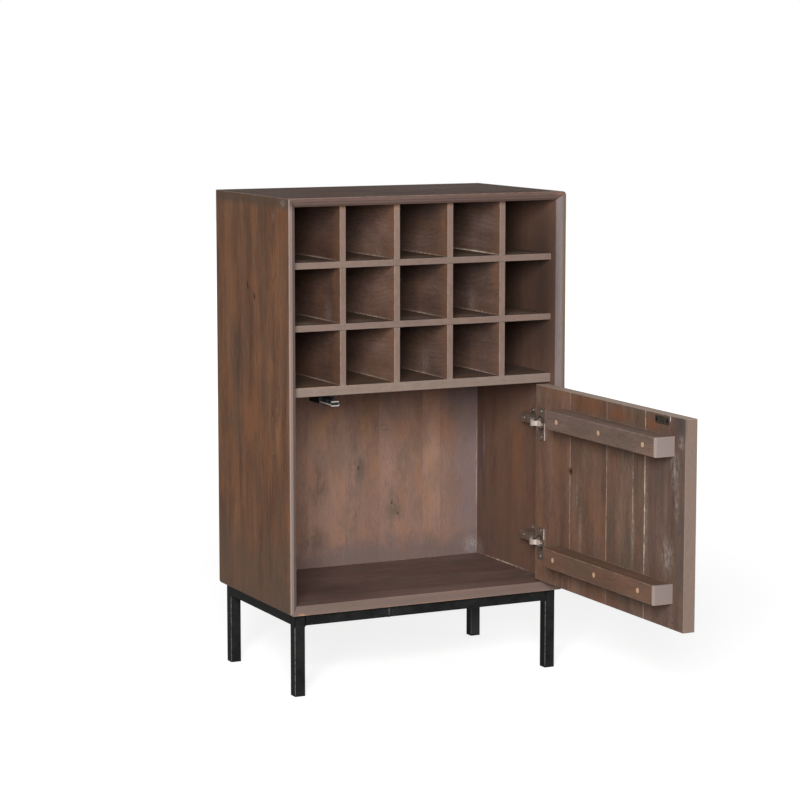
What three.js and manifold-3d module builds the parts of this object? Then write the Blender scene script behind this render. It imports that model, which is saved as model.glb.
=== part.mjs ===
// Wine cabinet: a bottle rack over a compartment with one plank door, on a square-tube steel base.
// Millimetres. X runs to the right as seen from the front, Y runs back, Z runs up from the floor.
// The door stands open at a right angle, as it is at rest.

import * as THREE from 'three';
import { mergeVertices } from 'three/addons/utils/BufferGeometryUtils.js';
import Module from 'manifold-3d';

const wasm = await Module();
wasm.setup();

// Overall sizes
const cabinetWidth = 600;
const cabinetDepth = 360;
const carcassHeight = 802;
const baseHeight = 161;

// Clearances
const seatGap = 0.3;
const slideGap = 0.25;
const cutOverrun = 2;
const weldTolerance = 0.0005;

// Carcass boards
const panelThickness = 17;
const roundCornerRadius = 8;
const crispCornerRadius = 2;
const frontStripWidth = 7.5;
const bevelDepth = 10;
const mitreGap = 0.3;
const rabbetWidth = 8;
const backSetIn = 20;
const backThickness = 14;
const dadoDepth = 6;

// Bottle rack
const columnCount = 5;
const rowCount = 3;
const rackSetBack = 29;
const rackBoardThickness = 12.5;
const rackFloorThickness = 18;
const compartmentHeight = 402.5;
const rackEdgeChamfer = 0.8;

// Steel base
const legSize = 22;
const legWall = 1.5;
const tubeCornerRadius = 1.8;
const railHeight = 22;
const railDepth = 22;
const baseSideInset = 13;
const baseFrontInset = 10;
const baseBackInset = 6;
const weldFillet = 5;
const weldFilletShare = 0.8;
const seamFromLeft = 215;
const seamWidth = 1.6;
const seamHeight = 0.5;
const footThickness = 3;
const footStemHeight = 12;

// Door leaf
const plankCount = 4;
const doorThickness = 25;
const doorSideGap = 3.5;
const doorTopGap = 3.5;
const doorBottomGap = 3.5;
const plankGap = 0.3;
const plankChamfer = 1.4;
const leafEdgeChamfer = 0.8;
const tongueThickness = 7;
const tongueLength = 6;
const doorOpenAngle = Math.PI / 2;

// Door axis, measured on the closed leaf from its hinge edge and its inner face
const axisFromEdge = 11.7;
const axisFromInnerFace = 16.6;

// Battens and their plugs
const battenHeight = 37;
const battenThickness = 42;
const upperBattenLength = 408;
const upperBattenFromHingeEdge = 114;
const lowerBattenLength = 416;
const lowerBattenFromHingeEdge = 106;
const battenEndChamfer = 4;
const battenEdgeChamfer = 1.2;
const upperBattenDrop = 54;
const lowerBattenRise = 67;
const plugRadius = 5;
const plugDepth = 8;
const plugSpacing = 160;
const upperPlugFromEnd = 44;
const lowerPlugFromEnd = 41;

// Cup of a hinge, measured from the leaf's hinge edge
const hingeFromLeafEnd = 77;
const cupFromEdge = 21;
const cupRadius = 17.5;
const cupWall = 1.2;
const cupDepth = 13;
const cheekFar = 26;
const rivetRadius = 2;
const rivetHeight = 0.8;
const flangeThickness = 1.4;
const flangeLength = 65;
const flangeNear = 12;
const flangeFar = 43;
const flangeCornerRadius = 4;
const flangeRimWidth = 1.5;
const lipWidth = 1.3;
const lipHeight = 1.5;
const cupScrewSpacing = 52;
const cupScrewFromEdge = 26.5;

// Hinge plate and arm, measured from the side panel's inner face and the cabinet front
const plateFromFront = 92;
const wingLength = 48;
const wingWidth = 16;
const wingThickness = 2.5;
const wingScrewSpacing = 32;
const riserLength = 40;
const riserWidth = 13;
const riserHeight = 13;
const armWidth = 18;
const armWall = 1.6;
const armTop = 17.5;
const armUnder = 5;
const armRear = 118;
const armBend = 66;
const armTipWidth = 8.4;
const armTipRadius = 3.6;
const armTipLength = 14;
const pinRadius = 1.5;
const pinLength = 15;
const armPinFromPanel = 35.8;
const armPinFromFront = 36;

// Hinge link
const linkWidth = 13.2;
const linkThickness = 1.5;
const linkEarThickness = 2;
const linkEyeRadius = 1.6;
const linkWaistDepth = 1.8;
const linkWaistRadius = 13;
const linkBow = 6.45;
const linkSpan = 14.45;
const linkReach = 17.6;

// Hinge screws
const screwHeadRadius = 3.8;
const screwHeadHeight = 1.6;
const screwShankRadius = 2;
const screwShankHole = 2.3;
const screwSocketRadius = 1.3;
const screwSocketDepth = 1;

// Push catch under the rack floor, with its strike plate on the door
const catchFromLeft = 112.5;
const catchBaseWidth = 22;
const catchBaseThickness = 2.5;
const catchBaseLength = 92;
const catchBaseSetBack = 8;
const catchBaseCornerRadius = 4;
const catchBodyWidth = 15;
const catchBodyHeight = 14;
const catchBodyLength = 84;
const catchBodyCornerRadius = 3;
const catchWebWidth = 9;
const catchTailRise = 6;
const plungerDrop = 17.5;
const plungerSize = 8;
const plungerInside = 30;
const plungerTravel = 12;
const plungerNeck = 4.5;
const headWidth = 16;
const headHeight = 10;
const headLength = 9;
const headStandOff = 1;
const poleThickness = 2.2;
const poleReach = 1.5;
const strikeWidth = 45;
const strikeHeight = 14;
const strikeThickness = 1.5;
const strikeCornerRadius = 2;
const strikeFromHingeEdge = 479;
const strikeDrop = 10.5;
const strikeHoleSpacing = 37;
const strikeHoleRadius = 2;

// Steps round curves
const roundSteps = 32;
const smallRoundSteps = 16;
const arcSteps = 6;

// Places worked out from the sizes
const carcassBottom = baseHeight;
const carcassTop = baseHeight + carcassHeight;
const innerHalfWidth = cabinetWidth / 2 - panelThickness;
const backFront = cabinetDepth - backSetIn;
const floorTop = carcassBottom + panelThickness;
const rackFloorBottom = floorTop + compartmentHeight;
const rackFloorTop = rackFloorBottom + rackFloorThickness;
const roofUnderside = carcassTop - panelThickness;
const doorHingeEdge = innerHalfWidth - doorSideGap;
const doorWidth = (innerHalfWidth - doorSideGap) * 2;
const doorOuterFace = bevelDepth;
const doorInnerFace = doorOuterFace + doorThickness;
const doorBottom = floorTop + doorBottomGap;
const doorTop = rackFloorBottom - doorTopGap;
const axisX = doorHingeEdge - axisFromEdge;
const axisY = doorInnerFace - axisFromInnerFace;
const upperHingeZ = doorTop - hingeFromLeafEnd;
const lowerHingeZ = doorBottom + hingeFromLeafEnd;

// Geometry helpers

// A closed solid made from a three.js geometry.
function solidFrom(geometry) {
  const bare = geometry.index ? geometry.toNonIndexed() : geometry.clone();
  bare.deleteAttribute('normal');
  bare.deleteAttribute('uv');
  const merged = mergeVertices(bare, weldTolerance);
  return new wasm.Manifold(new wasm.Mesh({
    numProp: 3,
    vertProperties: merged.attributes.position.array,
    triVerts: new Uint32Array(merged.index.array),
  }));
}

// A flat-shaded three.js geometry made from a solid.
function geometryFrom(solid) {
  const mesh = solid.getMesh();
  const indexed = new THREE.BufferGeometry();
  indexed.setAttribute('position', new THREE.BufferAttribute(mesh.vertProperties, 3));
  indexed.setIndex(new THREE.BufferAttribute(mesh.triVerts, 1));
  const geometry = indexed.toNonIndexed();
  geometry.computeVertexNormals();
  return geometry;
}

function joined(...geometries) {
  const solids = geometries.map(solidFrom);
  return geometryFrom(solids.reduce((sum, solid) => sum.add(solid)));
}

function cutFrom(geometry, ...tools) {
  const solids = tools.map(solidFrom);
  return geometryFrom(solids.reduce((rest, tool) => rest.subtract(tool), solidFrom(geometry)));
}

function commonTo(first, second) {
  return geometryFrom(solidFrom(first).intersect(solidFrom(second)));
}

function block(x0, x1, y0, y1, z0, z1) {
  const geometry = new THREE.BoxGeometry(x1 - x0, y1 - y0, z1 - z0);
  return geometry.translate((x0 + x1) / 2, (y0 + y1) / 2, (z0 + z1) / 2);
}

function extruded(shape, length) {
  const options = { depth: length, bevelEnabled: false, curveSegments: arcSteps };
  return new THREE.ExtrudeGeometry(shape, options);
}

// An outline drawn in X and Y, carried up from z0 to z1.
function prismUp(shape, z0, z1) {
  return extruded(shape, z1 - z0).translate(0, 0, z0);
}

// An outline drawn in X and Z, carried back from y0 to y1.
function prismBack(shape, y0, y1) {
  return extruded(shape, y1 - y0).rotateX(Math.PI / 2).translate(0, y1, 0);
}

// An outline drawn in Y and Z, carried across from x0 to x1.
function prismAcross(shape, x0, x1) {
  const turn = new THREE.Matrix4().makeBasis(
    new THREE.Vector3(0, 1, 0),
    new THREE.Vector3(0, 0, 1),
    new THREE.Vector3(1, 0, 0),
  );
  return extruded(shape, x1 - x0).applyMatrix4(turn).translate(x0, 0, 0);
}

function outline(points) {
  return new THREE.Shape(points.map(([a, b]) => new THREE.Vector2(a, b)));
}

// A rectangle with round corners.
function roundedOutline(a0, a1, b0, b1, radius) {
  const shape = new THREE.Shape();
  shape.absarc(a1 - radius, b1 - radius, radius, 0, Math.PI / 2, false);
  shape.absarc(a0 + radius, b1 - radius, radius, Math.PI / 2, Math.PI, false);
  shape.absarc(a0 + radius, b0 + radius, radius, Math.PI, Math.PI * 3 / 2, false);
  shape.absarc(a1 - radius, b0 + radius, radius, Math.PI * 3 / 2, Math.PI * 2, false);
  return shape;
}

// A rectangle with its corners cut off.
function chamferedOutline(a0, a1, b0, b1, cut) {
  return outline([
    [a0 + cut, b0],
    [a1 - cut, b0],
    [a1, b0 + cut],
    [a1, b1 - cut],
    [a1 - cut, b1],
    [a0 + cut, b1],
    [a0, b1 - cut],
    [a0, b0 + cut],
  ]);
}

function rodUp(radius, x, y, z0, z1, steps = roundSteps) {
  const geometry = new THREE.CylinderGeometry(radius, radius, z1 - z0, steps);
  return geometry.rotateX(Math.PI / 2).translate(x, y, (z0 + z1) / 2);
}

function rodBack(radius, x, z, y0, y1, steps = roundSteps) {
  const geometry = new THREE.CylinderGeometry(radius, radius, y1 - y0, steps);
  return geometry.translate(x, (y0 + y1) / 2, z);
}

function rodAcross(radius, y, z, x0, x1, steps = roundSteps) {
  const geometry = new THREE.CylinderGeometry(radius, radius, x1 - x0, steps);
  return geometry.rotateZ(-Math.PI / 2).translate((x0 + x1) / 2, y, z);
}

function addMesh(group, name, geometry, material) {
  const mesh = new THREE.Mesh(geometry, material.clone());
  mesh.name = name;
  group.add(mesh);
  return mesh;
}

// Materials
const sideWood = new THREE.MeshStandardMaterial({ color: 0x68493a, roughness: 0.62, metalness: 0 });
const topWood = new THREE.MeshStandardMaterial({ color: 0x54473f, roughness: 0.6, metalness: 0 });
const rackWood = new THREE.MeshStandardMaterial({ color: 0x7c6960, roughness: 0.65, metalness: 0 });
const backWood = new THREE.MeshStandardMaterial({ color: 0x7a5c4b, roughness: 0.65, metalness: 0 });
const doorWood = new THREE.MeshStandardMaterial({ color: 0x6a4c3d, roughness: 0.62, metalness: 0 });
const battenWood = new THREE.MeshStandardMaterial({ color: 0x63524a, roughness: 0.65, metalness: 0 });
const plugWood = new THREE.MeshStandardMaterial({ color: 0xc59a78, roughness: 0.6, metalness: 0 });
const blackSteel = new THREE.MeshStandardMaterial({ color: 0x1f2021, roughness: 0.45, metalness: 0.3 });
const blackPlastic = new THREE.MeshStandardMaterial({ color: 0x18181a, roughness: 0.5, metalness: 0 });
const nickel = new THREE.MeshStandardMaterial({ color: 0xa3928c, roughness: 0.3, metalness: 0.9 });
const darkSteel = new THREE.MeshStandardMaterial({ color: 0x4a443f, roughness: 0.4, metalness: 0.8 });

const cabinet = new THREE.Group();

// Carcass

// One carcass board lying flat, its outer face at height zero and its front edge at y = 0.
// Its ends are mitred, the outer corner at each end rounded, its inner front edge bevelled,
// and its inner rear edge rabbeted for the back.
function carcassBoard(length, startRadius, endRadius) {
  const half = length / 2;
  const pull = mitreGap * Math.SQRT1_2;
  const innerEnd = half - panelThickness - pull;
  const arcFrom = (radius) => Math.PI / 4 + Math.asin(pull / (radius * Math.SQRT2));
  const arcTo = Math.PI - arcFrom(startRadius);
  const ends = new THREE.Shape();
  ends.moveTo(-innerEnd, -panelThickness);
  ends.lineTo(innerEnd, -panelThickness);
  ends.absarc(half - endRadius, -endRadius, endRadius, arcFrom(endRadius), Math.PI / 2, false);
  ends.absarc(startRadius - half, -startRadius, startRadius, Math.PI / 2, arcTo, false);
  const section = outline([
    [0, 0],
    [0, -frontStripWidth],
    [bevelDepth, -panelThickness],
    [backFront, -panelThickness],
    [backFront, rabbetWidth - panelThickness],
    [cabinetDepth, rabbetWidth - panelThickness],
    [cabinetDepth, 0],
  ]);
  return commonTo(prismBack(ends, 0, cabinetDepth), prismAcross(section, -half, half));
}

// A side board has a stopped groove that takes the end of the rack floor.
function sideBoard(direction, startRadius, endRadius) {
  const middle = carcassBottom + carcassHeight / 2;
  const low = direction * (rackFloorBottom - slideGap - middle);
  const high = direction * (rackFloorTop + slideGap - middle);
  const groove = block(
    Math.min(low, high),
    Math.max(low, high),
    rackSetBack - slideGap,
    backFront + cutOverrun,
    -panelThickness - cutOverrun,
    dadoDepth - panelThickness,
  );
  return cutFrom(carcassBoard(carcassHeight, startRadius, endRadius), groove);
}

// The corner between the top and the left side is left crisp, and the other three are rounded.
const topBlank = carcassBoard(cabinetWidth, crispCornerRadius, roundCornerRadius);
const bottomBlank = carcassBoard(cabinetWidth, roundCornerRadius, roundCornerRadius);
const leftBlank = sideBoard(1, roundCornerRadius, crispCornerRadius);
const rightBlank = sideBoard(-1, roundCornerRadius, roundCornerRadius);

const topBoard = addMesh(cabinet, 'top_panel', topBlank, topWood);
topBoard.position.z = carcassTop;

const bottomBoard = addMesh(cabinet, 'bottom_panel', bottomBlank, rackWood);
bottomBoard.position.z = carcassBottom;
bottomBoard.rotation.y = Math.PI;

const leftBoard = addMesh(cabinet, 'left_side_panel', leftBlank, sideWood);
leftBoard.position.set(-cabinetWidth / 2, 0, carcassBottom + carcassHeight / 2);
leftBoard.rotation.y = -Math.PI / 2;

const rightBoard = addMesh(cabinet, 'right_side_panel', rightBlank, sideWood);
rightBoard.position.set(cabinetWidth / 2, 0, carcassBottom + carcassHeight / 2);
rightBoard.rotation.y = Math.PI / 2;

// Back, let into the rabbet all round

const backHalfWidth = innerHalfWidth + rabbetWidth - seatGap;
addMesh(cabinet, 'back_panel', block(
  -backHalfWidth,
  backHalfWidth,
  backFront + seatGap,
  backFront + seatGap + backThickness,
  floorTop - rabbetWidth + seatGap,
  roofUnderside + rabbetWidth - seatGap,
), backWood);

// Bottle rack

const rackBack = backFront - seatGap;
const rackDepth = rackBack - rackSetBack;
const dividerBottom = rackFloorTop + seatGap;
const dividerTop = roofUnderside - seatGap;
const cellWidth = (innerHalfWidth * 2 - (columnCount - 1) * rackBoardThickness) / columnCount;
const cellHeight = (roofUnderside - rackFloorTop - (rowCount - 1) * rackBoardThickness) / rowCount;
const halvingY = rackSetBack + rackDepth / 2;

// Section of a rack board from front to back, its front edges eased.
function rackSection(thickness) {
  return outline([
    [rackSetBack, rackEdgeChamfer],
    [rackSetBack + rackEdgeChamfer, 0],
    [rackBack, 0],
    [rackBack, thickness],
    [rackSetBack + rackEdgeChamfer, thickness],
    [rackSetBack, thickness - rackEdgeChamfer],
  ]);
}

function dividerLeft(column) {
  return -innerHalfWidth + column * cellWidth + (column - 1) * rackBoardThickness;
}

function shelfUnderside(row) {
  return rackFloorTop + row * cellHeight + (row - 1) * rackBoardThickness;
}

const rackFloorHalf = innerHalfWidth + dadoDepth - seatGap;
const rackFloor = prismAcross(rackSection(rackFloorThickness), -rackFloorHalf, rackFloorHalf);
addMesh(cabinet, 'rack_floor', rackFloor.translate(0, 0, rackFloorBottom), rackWood);

// Shelves run unbroken along the front and are slotted from behind for the dividers.
for (let row = 1; row < rowCount; row += 1) {
  const z = shelfUnderside(row);
  const half = innerHalfWidth - seatGap;
  const slots = [];
  for (let column = 1; column < columnCount; column += 1) {
    const x = dividerLeft(column);
    slots.push(block(
      x - slideGap,
      x + rackBoardThickness + slideGap,
      halvingY - slideGap,
      rackBack + cutOverrun,
      z - cutOverrun,
      z + rackBoardThickness + cutOverrun,
    ));
  }
  const shelf = prismAcross(rackSection(rackBoardThickness), -half, half).translate(0, 0, z);
  addMesh(cabinet, `rack_shelf_${row}`, cutFrom(shelf, ...slots), rackWood);
}

// Dividers are slotted from the front and drop over the shelves.
for (let column = 1; column < columnCount; column += 1) {
  const x = dividerLeft(column);
  const slots = [];
  for (let row = 1; row < rowCount; row += 1) {
    const z = shelfUnderside(row);
    slots.push(block(
      x - cutOverrun,
      x + rackBoardThickness + cutOverrun,
      rackSetBack - cutOverrun,
      halvingY + slideGap,
      z - slideGap,
      z + rackBoardThickness + slideGap,
    ));
  }
  const section = outline([
    [x + rackEdgeChamfer, rackSetBack],
    [x + rackBoardThickness - rackEdgeChamfer, rackSetBack],
    [x + rackBoardThickness, rackSetBack + rackEdgeChamfer],
    [x + rackBoardThickness, rackBack],
    [x, rackBack],
    [x, rackSetBack + rackEdgeChamfer],
  ]);
  const divider = prismUp(section, dividerBottom, dividerTop);
  addMesh(cabinet, `rack_divider_${column}`, cutFrom(divider, ...slots), rackWood);
}

// Steel base: four square legs joined by rectangular rails

const baseTop = baseHeight - seatGap;
const baseLeft = baseSideInset - cabinetWidth / 2;
const baseRight = cabinetWidth / 2 - baseSideInset;
const baseFront = baseFrontInset;
const baseBack = cabinetDepth - baseBackInset;
const legs = [
  { name: 'front_left', x: baseLeft, y: baseFront },
  { name: 'front_right', x: baseRight - legSize, y: baseFront },
  { name: 'back_left', x: baseLeft, y: baseBack - legSize },
  { name: 'back_right', x: baseRight - legSize, y: baseBack - legSize },
];

for (const { name, x, y } of legs) {
  const tube = roundedOutline(x, x + legSize, y, y + legSize, tubeCornerRadius);
  const bore = block(
    x + legWall,
    x + legSize - legWall,
    y + legWall,
    y + legSize - legWall,
    -cutOverrun,
    baseTop + cutOverrun,
  );
  const leg = cutFrom(prismUp(tube, footThickness + seatGap, baseTop), bore);
  addMesh(cabinet, `leg_${name}`, leg, blackSteel);
  const stemInset = legWall + slideGap;
  const stem = block(
    x + stemInset,
    x + legSize - stemInset,
    y + stemInset,
    y + legSize - stemInset,
    footThickness / 2,
    footThickness + footStemHeight,
  );
  addMesh(cabinet, `foot_${name}`, joined(prismUp(tube, 0, footThickness), stem), blackPlastic);
}

// A rail lying along X from zero, its top at height zero, with a weld fillet under each end.
function rail(length, seamAt) {
  const fillet = new THREE.Shape();
  fillet.moveTo(0, 0);
  fillet.lineTo(0, -railHeight - weldFillet);
  fillet.quadraticCurveTo(0, -railHeight, weldFillet, -railHeight);
  fillet.lineTo(weldFillet, 0);
  const filletInset = railDepth * (1 - weldFilletShare) / 2;
  const start = prismBack(fillet, filletInset, railDepth - filletInset);
  const end = start.clone().rotateZ(Math.PI).translate(length, railDepth, 0);
  const outer = [
    prismAcross(
      roundedOutline(0, railDepth, -railHeight, 0, tubeCornerRadius),
      0,
      length,
    ),
    start,
    end,
  ];
  if (seamAt) {
    outer.push(prismAcross(
      roundedOutline(
        -seamHeight,
        railDepth + seamHeight,
        -railHeight - seamHeight,
        0,
        tubeCornerRadius,
      ),
      seamAt - seamWidth / 2,
      seamAt + seamWidth / 2,
    ));
  }
  const bore = block(
    -cutOverrun,
    length + cutOverrun,
    legWall,
    railDepth - legWall,
    legWall - railHeight,
    -legWall,
  );
  return cutFrom(joined(...outer), bore);
}

const railSpanX = baseRight - baseLeft - (legSize + seatGap) * 2;
const railSpanY = baseBack - baseFront - (legSize + seatGap) * 2;
const railStartX = baseLeft + legSize + seatGap;
const railStartY = baseFront + legSize + seatGap;
const seamAlongRail = seamFromLeft - cabinetWidth / 2 - railStartX;

const frontRail = addMesh(cabinet, 'rail_front', rail(railSpanX, seamAlongRail), blackSteel);
frontRail.position.set(railStartX, baseFront, baseTop);

const backRail = addMesh(cabinet, 'rail_back', rail(railSpanX), blackSteel);
backRail.position.set(railStartX, baseBack - railDepth, baseTop);

const leftRail = addMesh(cabinet, 'rail_left', rail(railSpanY), blackSteel);
leftRail.position.set(baseLeft + railDepth, railStartY, baseTop);
leftRail.rotation.z = Math.PI / 2;

const rightRail = addMesh(cabinet, 'rail_right', rail(railSpanY), blackSteel);
rightRail.position.set(baseRight, railStartY, baseTop);
rightRail.rotation.z = Math.PI / 2;

// Door, drawn shut in cabinet coordinates and turned open about its axis

const doorPivot = new THREE.Group();
doorPivot.position.set(axisX, axisY, 0);
doorPivot.rotation.z = doorOpenAngle;
cabinet.add(doorPivot);
const door = new THREE.Group();
door.position.set(-axisX, -axisY, 0);
doorPivot.add(door);

const plankPitch = (doorWidth + plankGap) / plankCount;

// Section of one plank, with a groove on its right edge and a tongue on its left.
function plankSection(index) {
  const right = doorHingeEdge - index * plankPitch;
  const left = right - plankPitch + plankGap;
  const front = doorOuterFace;
  const back = doorInnerFace;
  const middle = (front + back) / 2;
  const tongue = tongueThickness / 2;
  const groove = tongue + slideGap;
  const grooveEnd = right - tongueLength - slideGap;
  const cutRight = index > 0 ? plankChamfer : leafEdgeChamfer;
  const cutLeft = index < plankCount - 1 ? plankChamfer : leafEdgeChamfer;
  const points = [
    [right - cutRight, front],
    [right, front + cutRight],
  ];
  if (index > 0) {
    points.push([right, middle - groove], [grooveEnd, middle - groove]);
    points.push([grooveEnd, middle + groove], [right, middle + groove]);
  }
  points.push([right, back - cutRight], [right - cutRight, back]);
  points.push([left + cutLeft, back], [left, back - cutLeft]);
  if (index < plankCount - 1) {
    points.push([left, middle + tongue], [left - tongueLength, middle + tongue]);
    points.push([left - tongueLength, middle - tongue], [left, middle - tongue]);
  }
  points.push([left, front + cutLeft], [left + cutLeft, front]);
  return outline(points);
}

const cupX = doorHingeEdge - cupFromEdge;
const cupBores = [upperHingeZ, lowerHingeZ].map((z) => rodBack(
  cupRadius + slideGap,
  cupX,
  z,
  doorInnerFace - cupDepth - seatGap,
  doorInnerFace + cutOverrun,
));

for (let index = 0; index < plankCount; index += 1) {
  const blank = prismUp(plankSection(index), doorBottom, doorTop);
  const plank = index === 0 ? cutFrom(blank, ...cupBores) : blank;
  addMesh(door, `door_plank_${index + 1}`, plank, doorWood);
}

// Battens across the planks, each with three plugs over its screws

const battenBack = doorInnerFace + seatGap;
const battenFace = battenBack + battenThickness;
const plugShares = [0, 1, 2];
const battens = [
  {
    name: 'upper_batten',
    z: doorTop - upperBattenDrop,
    fromHingeEdge: upperBattenFromHingeEdge,
    length: upperBattenLength,
    firstPlug: upperPlugFromEnd,
  },
  {
    name: 'lower_batten',
    z: doorBottom + lowerBattenRise,
    fromHingeEdge: lowerBattenFromHingeEdge,
    length: lowerBattenLength,
    firstPlug: lowerPlugFromEnd,
  },
];

function batten(battenLeft, battenRight, z, plugPlaces) {
  const across = chamferedOutline(
    battenBack - battenEdgeChamfer,
    battenFace,
    z - battenHeight / 2,
    z + battenHeight / 2,
    battenEdgeChamfer,
  );
  const along = outline([
    [battenLeft, battenBack],
    [battenRight, battenBack],
    [battenRight, battenFace - battenEndChamfer],
    [battenRight - battenEndChamfer, battenFace],
    [battenLeft + battenEndChamfer, battenFace],
    [battenLeft, battenFace - battenEndChamfer],
  ]);
  const low = z - battenHeight / 2;
  const high = z + battenHeight / 2;
  const blank = commonTo(prismAcross(across, battenLeft, battenRight), prismUp(along, low, high));
  const holes = plugPlaces.map((x) => rodBack(
    plugRadius + slideGap,
    x,
    z,
    battenFace - plugDepth - seatGap,
    battenFace + cutOverrun,
    smallRoundSteps,
  ));
  return cutFrom(blank, ...holes);
}

for (const { name, z, fromHingeEdge, length, firstPlug } of battens) {
  const right = doorHingeEdge - fromHingeEdge;
  const plugPlaces = plugShares.map((share) => right - firstPlug - share * plugSpacing);
  addMesh(door, name, batten(right - length, right, z, plugPlaces), battenWood);
  plugPlaces.forEach((x, index) => {
    const plug = rodBack(plugRadius, x, z, battenFace - plugDepth, battenFace, smallRoundSteps);
    addMesh(door, `${name}_plug_${index + 1}`, plug, plugWood);
  });
}

// Hinges

const panelFace = innerHalfWidth;
const armPinX = panelFace - armPinFromPanel;
const armPinY = armPinFromFront;

// Middle line of the link's web, from its ears to its far eye as the door stands open.
// It bows to the left of the arm's pin, reaches forward, and hooks back to the right.
const linkSpanShares = [0.03, 0, 0.28, 0.535, 1];
const linkReachShares = [0.2, 0.415, 0.88, 1, 0.975];
const linkWebPlaces = linkSpanShares.map((share, index) => ({
  left: linkBow - linkSpan * share,
  front: linkReach * linkReachShares[index],
}));

// The far eye's place on the shut leaf.
const farEye = linkWebPlaces[linkWebPlaces.length - 1];
const farEyeShut = new THREE.Vector2(armPinX - farEye.left, armPinY - farEye.front)
  .rotateAround(new THREE.Vector2(axisX, axisY), -doorOpenAngle);

// One of the two cheeks that guide the link inside the cup, with a rivet head on its far side.
function cupCheek(z, way, bottom, mouth) {
  const near = z + way * (linkWidth / 2 + seatGap);
  const far = near + way * cupWall;
  const rivetEnd = far + way * rivetHeight;
  const wall = block(
    doorHingeEdge - cheekFar,
    cupX + cupRadius,
    bottom,
    mouth,
    Math.min(near, far),
    Math.max(near, far),
  );
  const insideCup = rodBack(cupRadius - cupWall / 2, cupX, z, bottom, mouth);
  const rivet = rodUp(
    rivetRadius,
    farEyeShut.x,
    farEyeShut.y,
    Math.min(near + way * cupWall / 2, rivetEnd),
    Math.max(near + way * cupWall / 2, rivetEnd),
    smallRoundSteps,
  );
  return joined(commonTo(wall, insideCup), rivet);
}

// Cup and flange, let into the back of the leaf.
function hingeCup(z) {
  const inner = cupRadius - cupWall;
  const mouth = doorInnerFace + seatGap + flangeThickness;
  const bottom = doorInnerFace - cupDepth;
  const bowl = new THREE.LatheGeometry([
    new THREE.Vector2(0, bottom),
    new THREE.Vector2(cupRadius, bottom),
    new THREE.Vector2(cupRadius, mouth),
    new THREE.Vector2(inner, mouth),
    new THREE.Vector2(inner, bottom + cupWall),
    new THREE.Vector2(0, bottom + cupWall),
  ], roundSteps).translate(cupX, 0, z);
  const seat = doorInnerFace + seatGap;
  const plate = prismBack(roundedOutline(
    doorHingeEdge - flangeFar,
    doorHingeEdge - flangeNear,
    z - flangeLength / 2,
    z + flangeLength / 2,
    flangeCornerRadius,
  ), seat, mouth);
  const rim = rodBack(cupRadius + flangeRimWidth, cupX, z, seat, mouth);
  const lipStart = doorHingeEdge - flangeFar;
  const lipHalf = flangeLength / 2 - flangeCornerRadius;
  const lip = prismBack(
    roundedOutline(lipStart, lipStart + lipWidth, z - lipHalf, z + lipHalf, lipWidth / 2),
    seat,
    mouth + lipHeight,
  );
  const hollow = rodBack(inner, cupX, z, doorInnerFace - cupWall, mouth + cutOverrun);
  const screwX = doorHingeEdge - cupScrewFromEdge;
  const screwHoles = [-cupScrewSpacing / 2, cupScrewSpacing / 2].map((dz) => rodBack(
    screwShankHole,
    screwX,
    z + dz,
    seat - cutOverrun,
    mouth + cutOverrun,
    smallRoundSteps,
  ));
  const flange = cutFrom(joined(plate, rim, lip), hollow, ...screwHoles);
  const cheeks = [-1, 1].map((way) => cupCheek(z, way, bottom + cupWall / 2, mouth));
  return joined(bowl, flange, ...cheeks);
}

// Mounting plate on the side panel: two screwed wings and a riser that carries the arm.
function hingePlate(z) {
  const seat = panelFace - seatGap;
  const wings = prismAcross(roundedOutline(
    plateFromFront - wingWidth / 2,
    plateFromFront + wingWidth / 2,
    z - wingLength / 2,
    z + wingLength / 2,
    wingWidth / 2,
  ), seat - wingThickness, seat);
  const riser = block(
    seat - riserHeight,
    seat,
    plateFromFront - riserLength / 2,
    plateFromFront + riserLength / 2,
    z - riserWidth / 2,
    z + riserWidth / 2,
  );
  const holes = [-wingScrewSpacing / 2, wingScrewSpacing / 2].map((dz) => rodAcross(
    screwShankHole,
    plateFromFront,
    z + dz,
    seat - wingThickness - cutOverrun,
    seat + cutOverrun,
    smallRoundSteps,
  ));
  return cutFrom(joined(wings, riser), ...holes);
}

// Cranked arm, a channel over the riser that narrows to a tip with the pivot pin.
function hingeArm(z) {
  const tipStart = armPinFromFront + armTipLength;
  const side = new THREE.Shape();
  side.moveTo(panelFace - armUnder, armRear);
  side.lineTo(panelFace - armUnder, armBend);
  side.quadraticCurveTo(
    panelFace - armUnder,
    tipStart,
    armPinX + armTipRadius,
    armPinY + armTipRadius,
  );
  side.lineTo(armPinX + armTipRadius, armPinY);
  side.absarc(armPinX, armPinY, armTipRadius, 0, -Math.PI, true);
  side.quadraticCurveTo(armPinX - armTipRadius, tipStart, panelFace - armTop, armBend);
  side.lineTo(panelFace - armTop, armRear);
  const body = prismUp(side, z - armWidth / 2, z + armWidth / 2);
  const channel = block(
    panelFace - armTop + armWall,
    panelFace,
    armBend,
    armRear + cutOverrun,
    z - riserWidth / 2 - slideGap,
    z + riserWidth / 2 + slideGap,
  );
  const trims = [-1, 1].map((way) => {
    const near = z + way * armTipWidth / 2;
    const far = z + way * (armWidth / 2 + cutOverrun);
    return block(
      armPinX - armTipRadius - cutOverrun,
      panelFace,
      armPinY - armTipRadius - cutOverrun,
      tipStart,
      Math.min(near, far),
      Math.max(near, far),
    );
  });
  const low = z - pinLength / 2;
  const high = z + pinLength / 2;
  const pin = rodUp(pinRadius, armPinX, armPinY, low, high, smallRoundSteps);
  return joined(cutFrom(body, channel, ...trims), pin);
}

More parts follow.
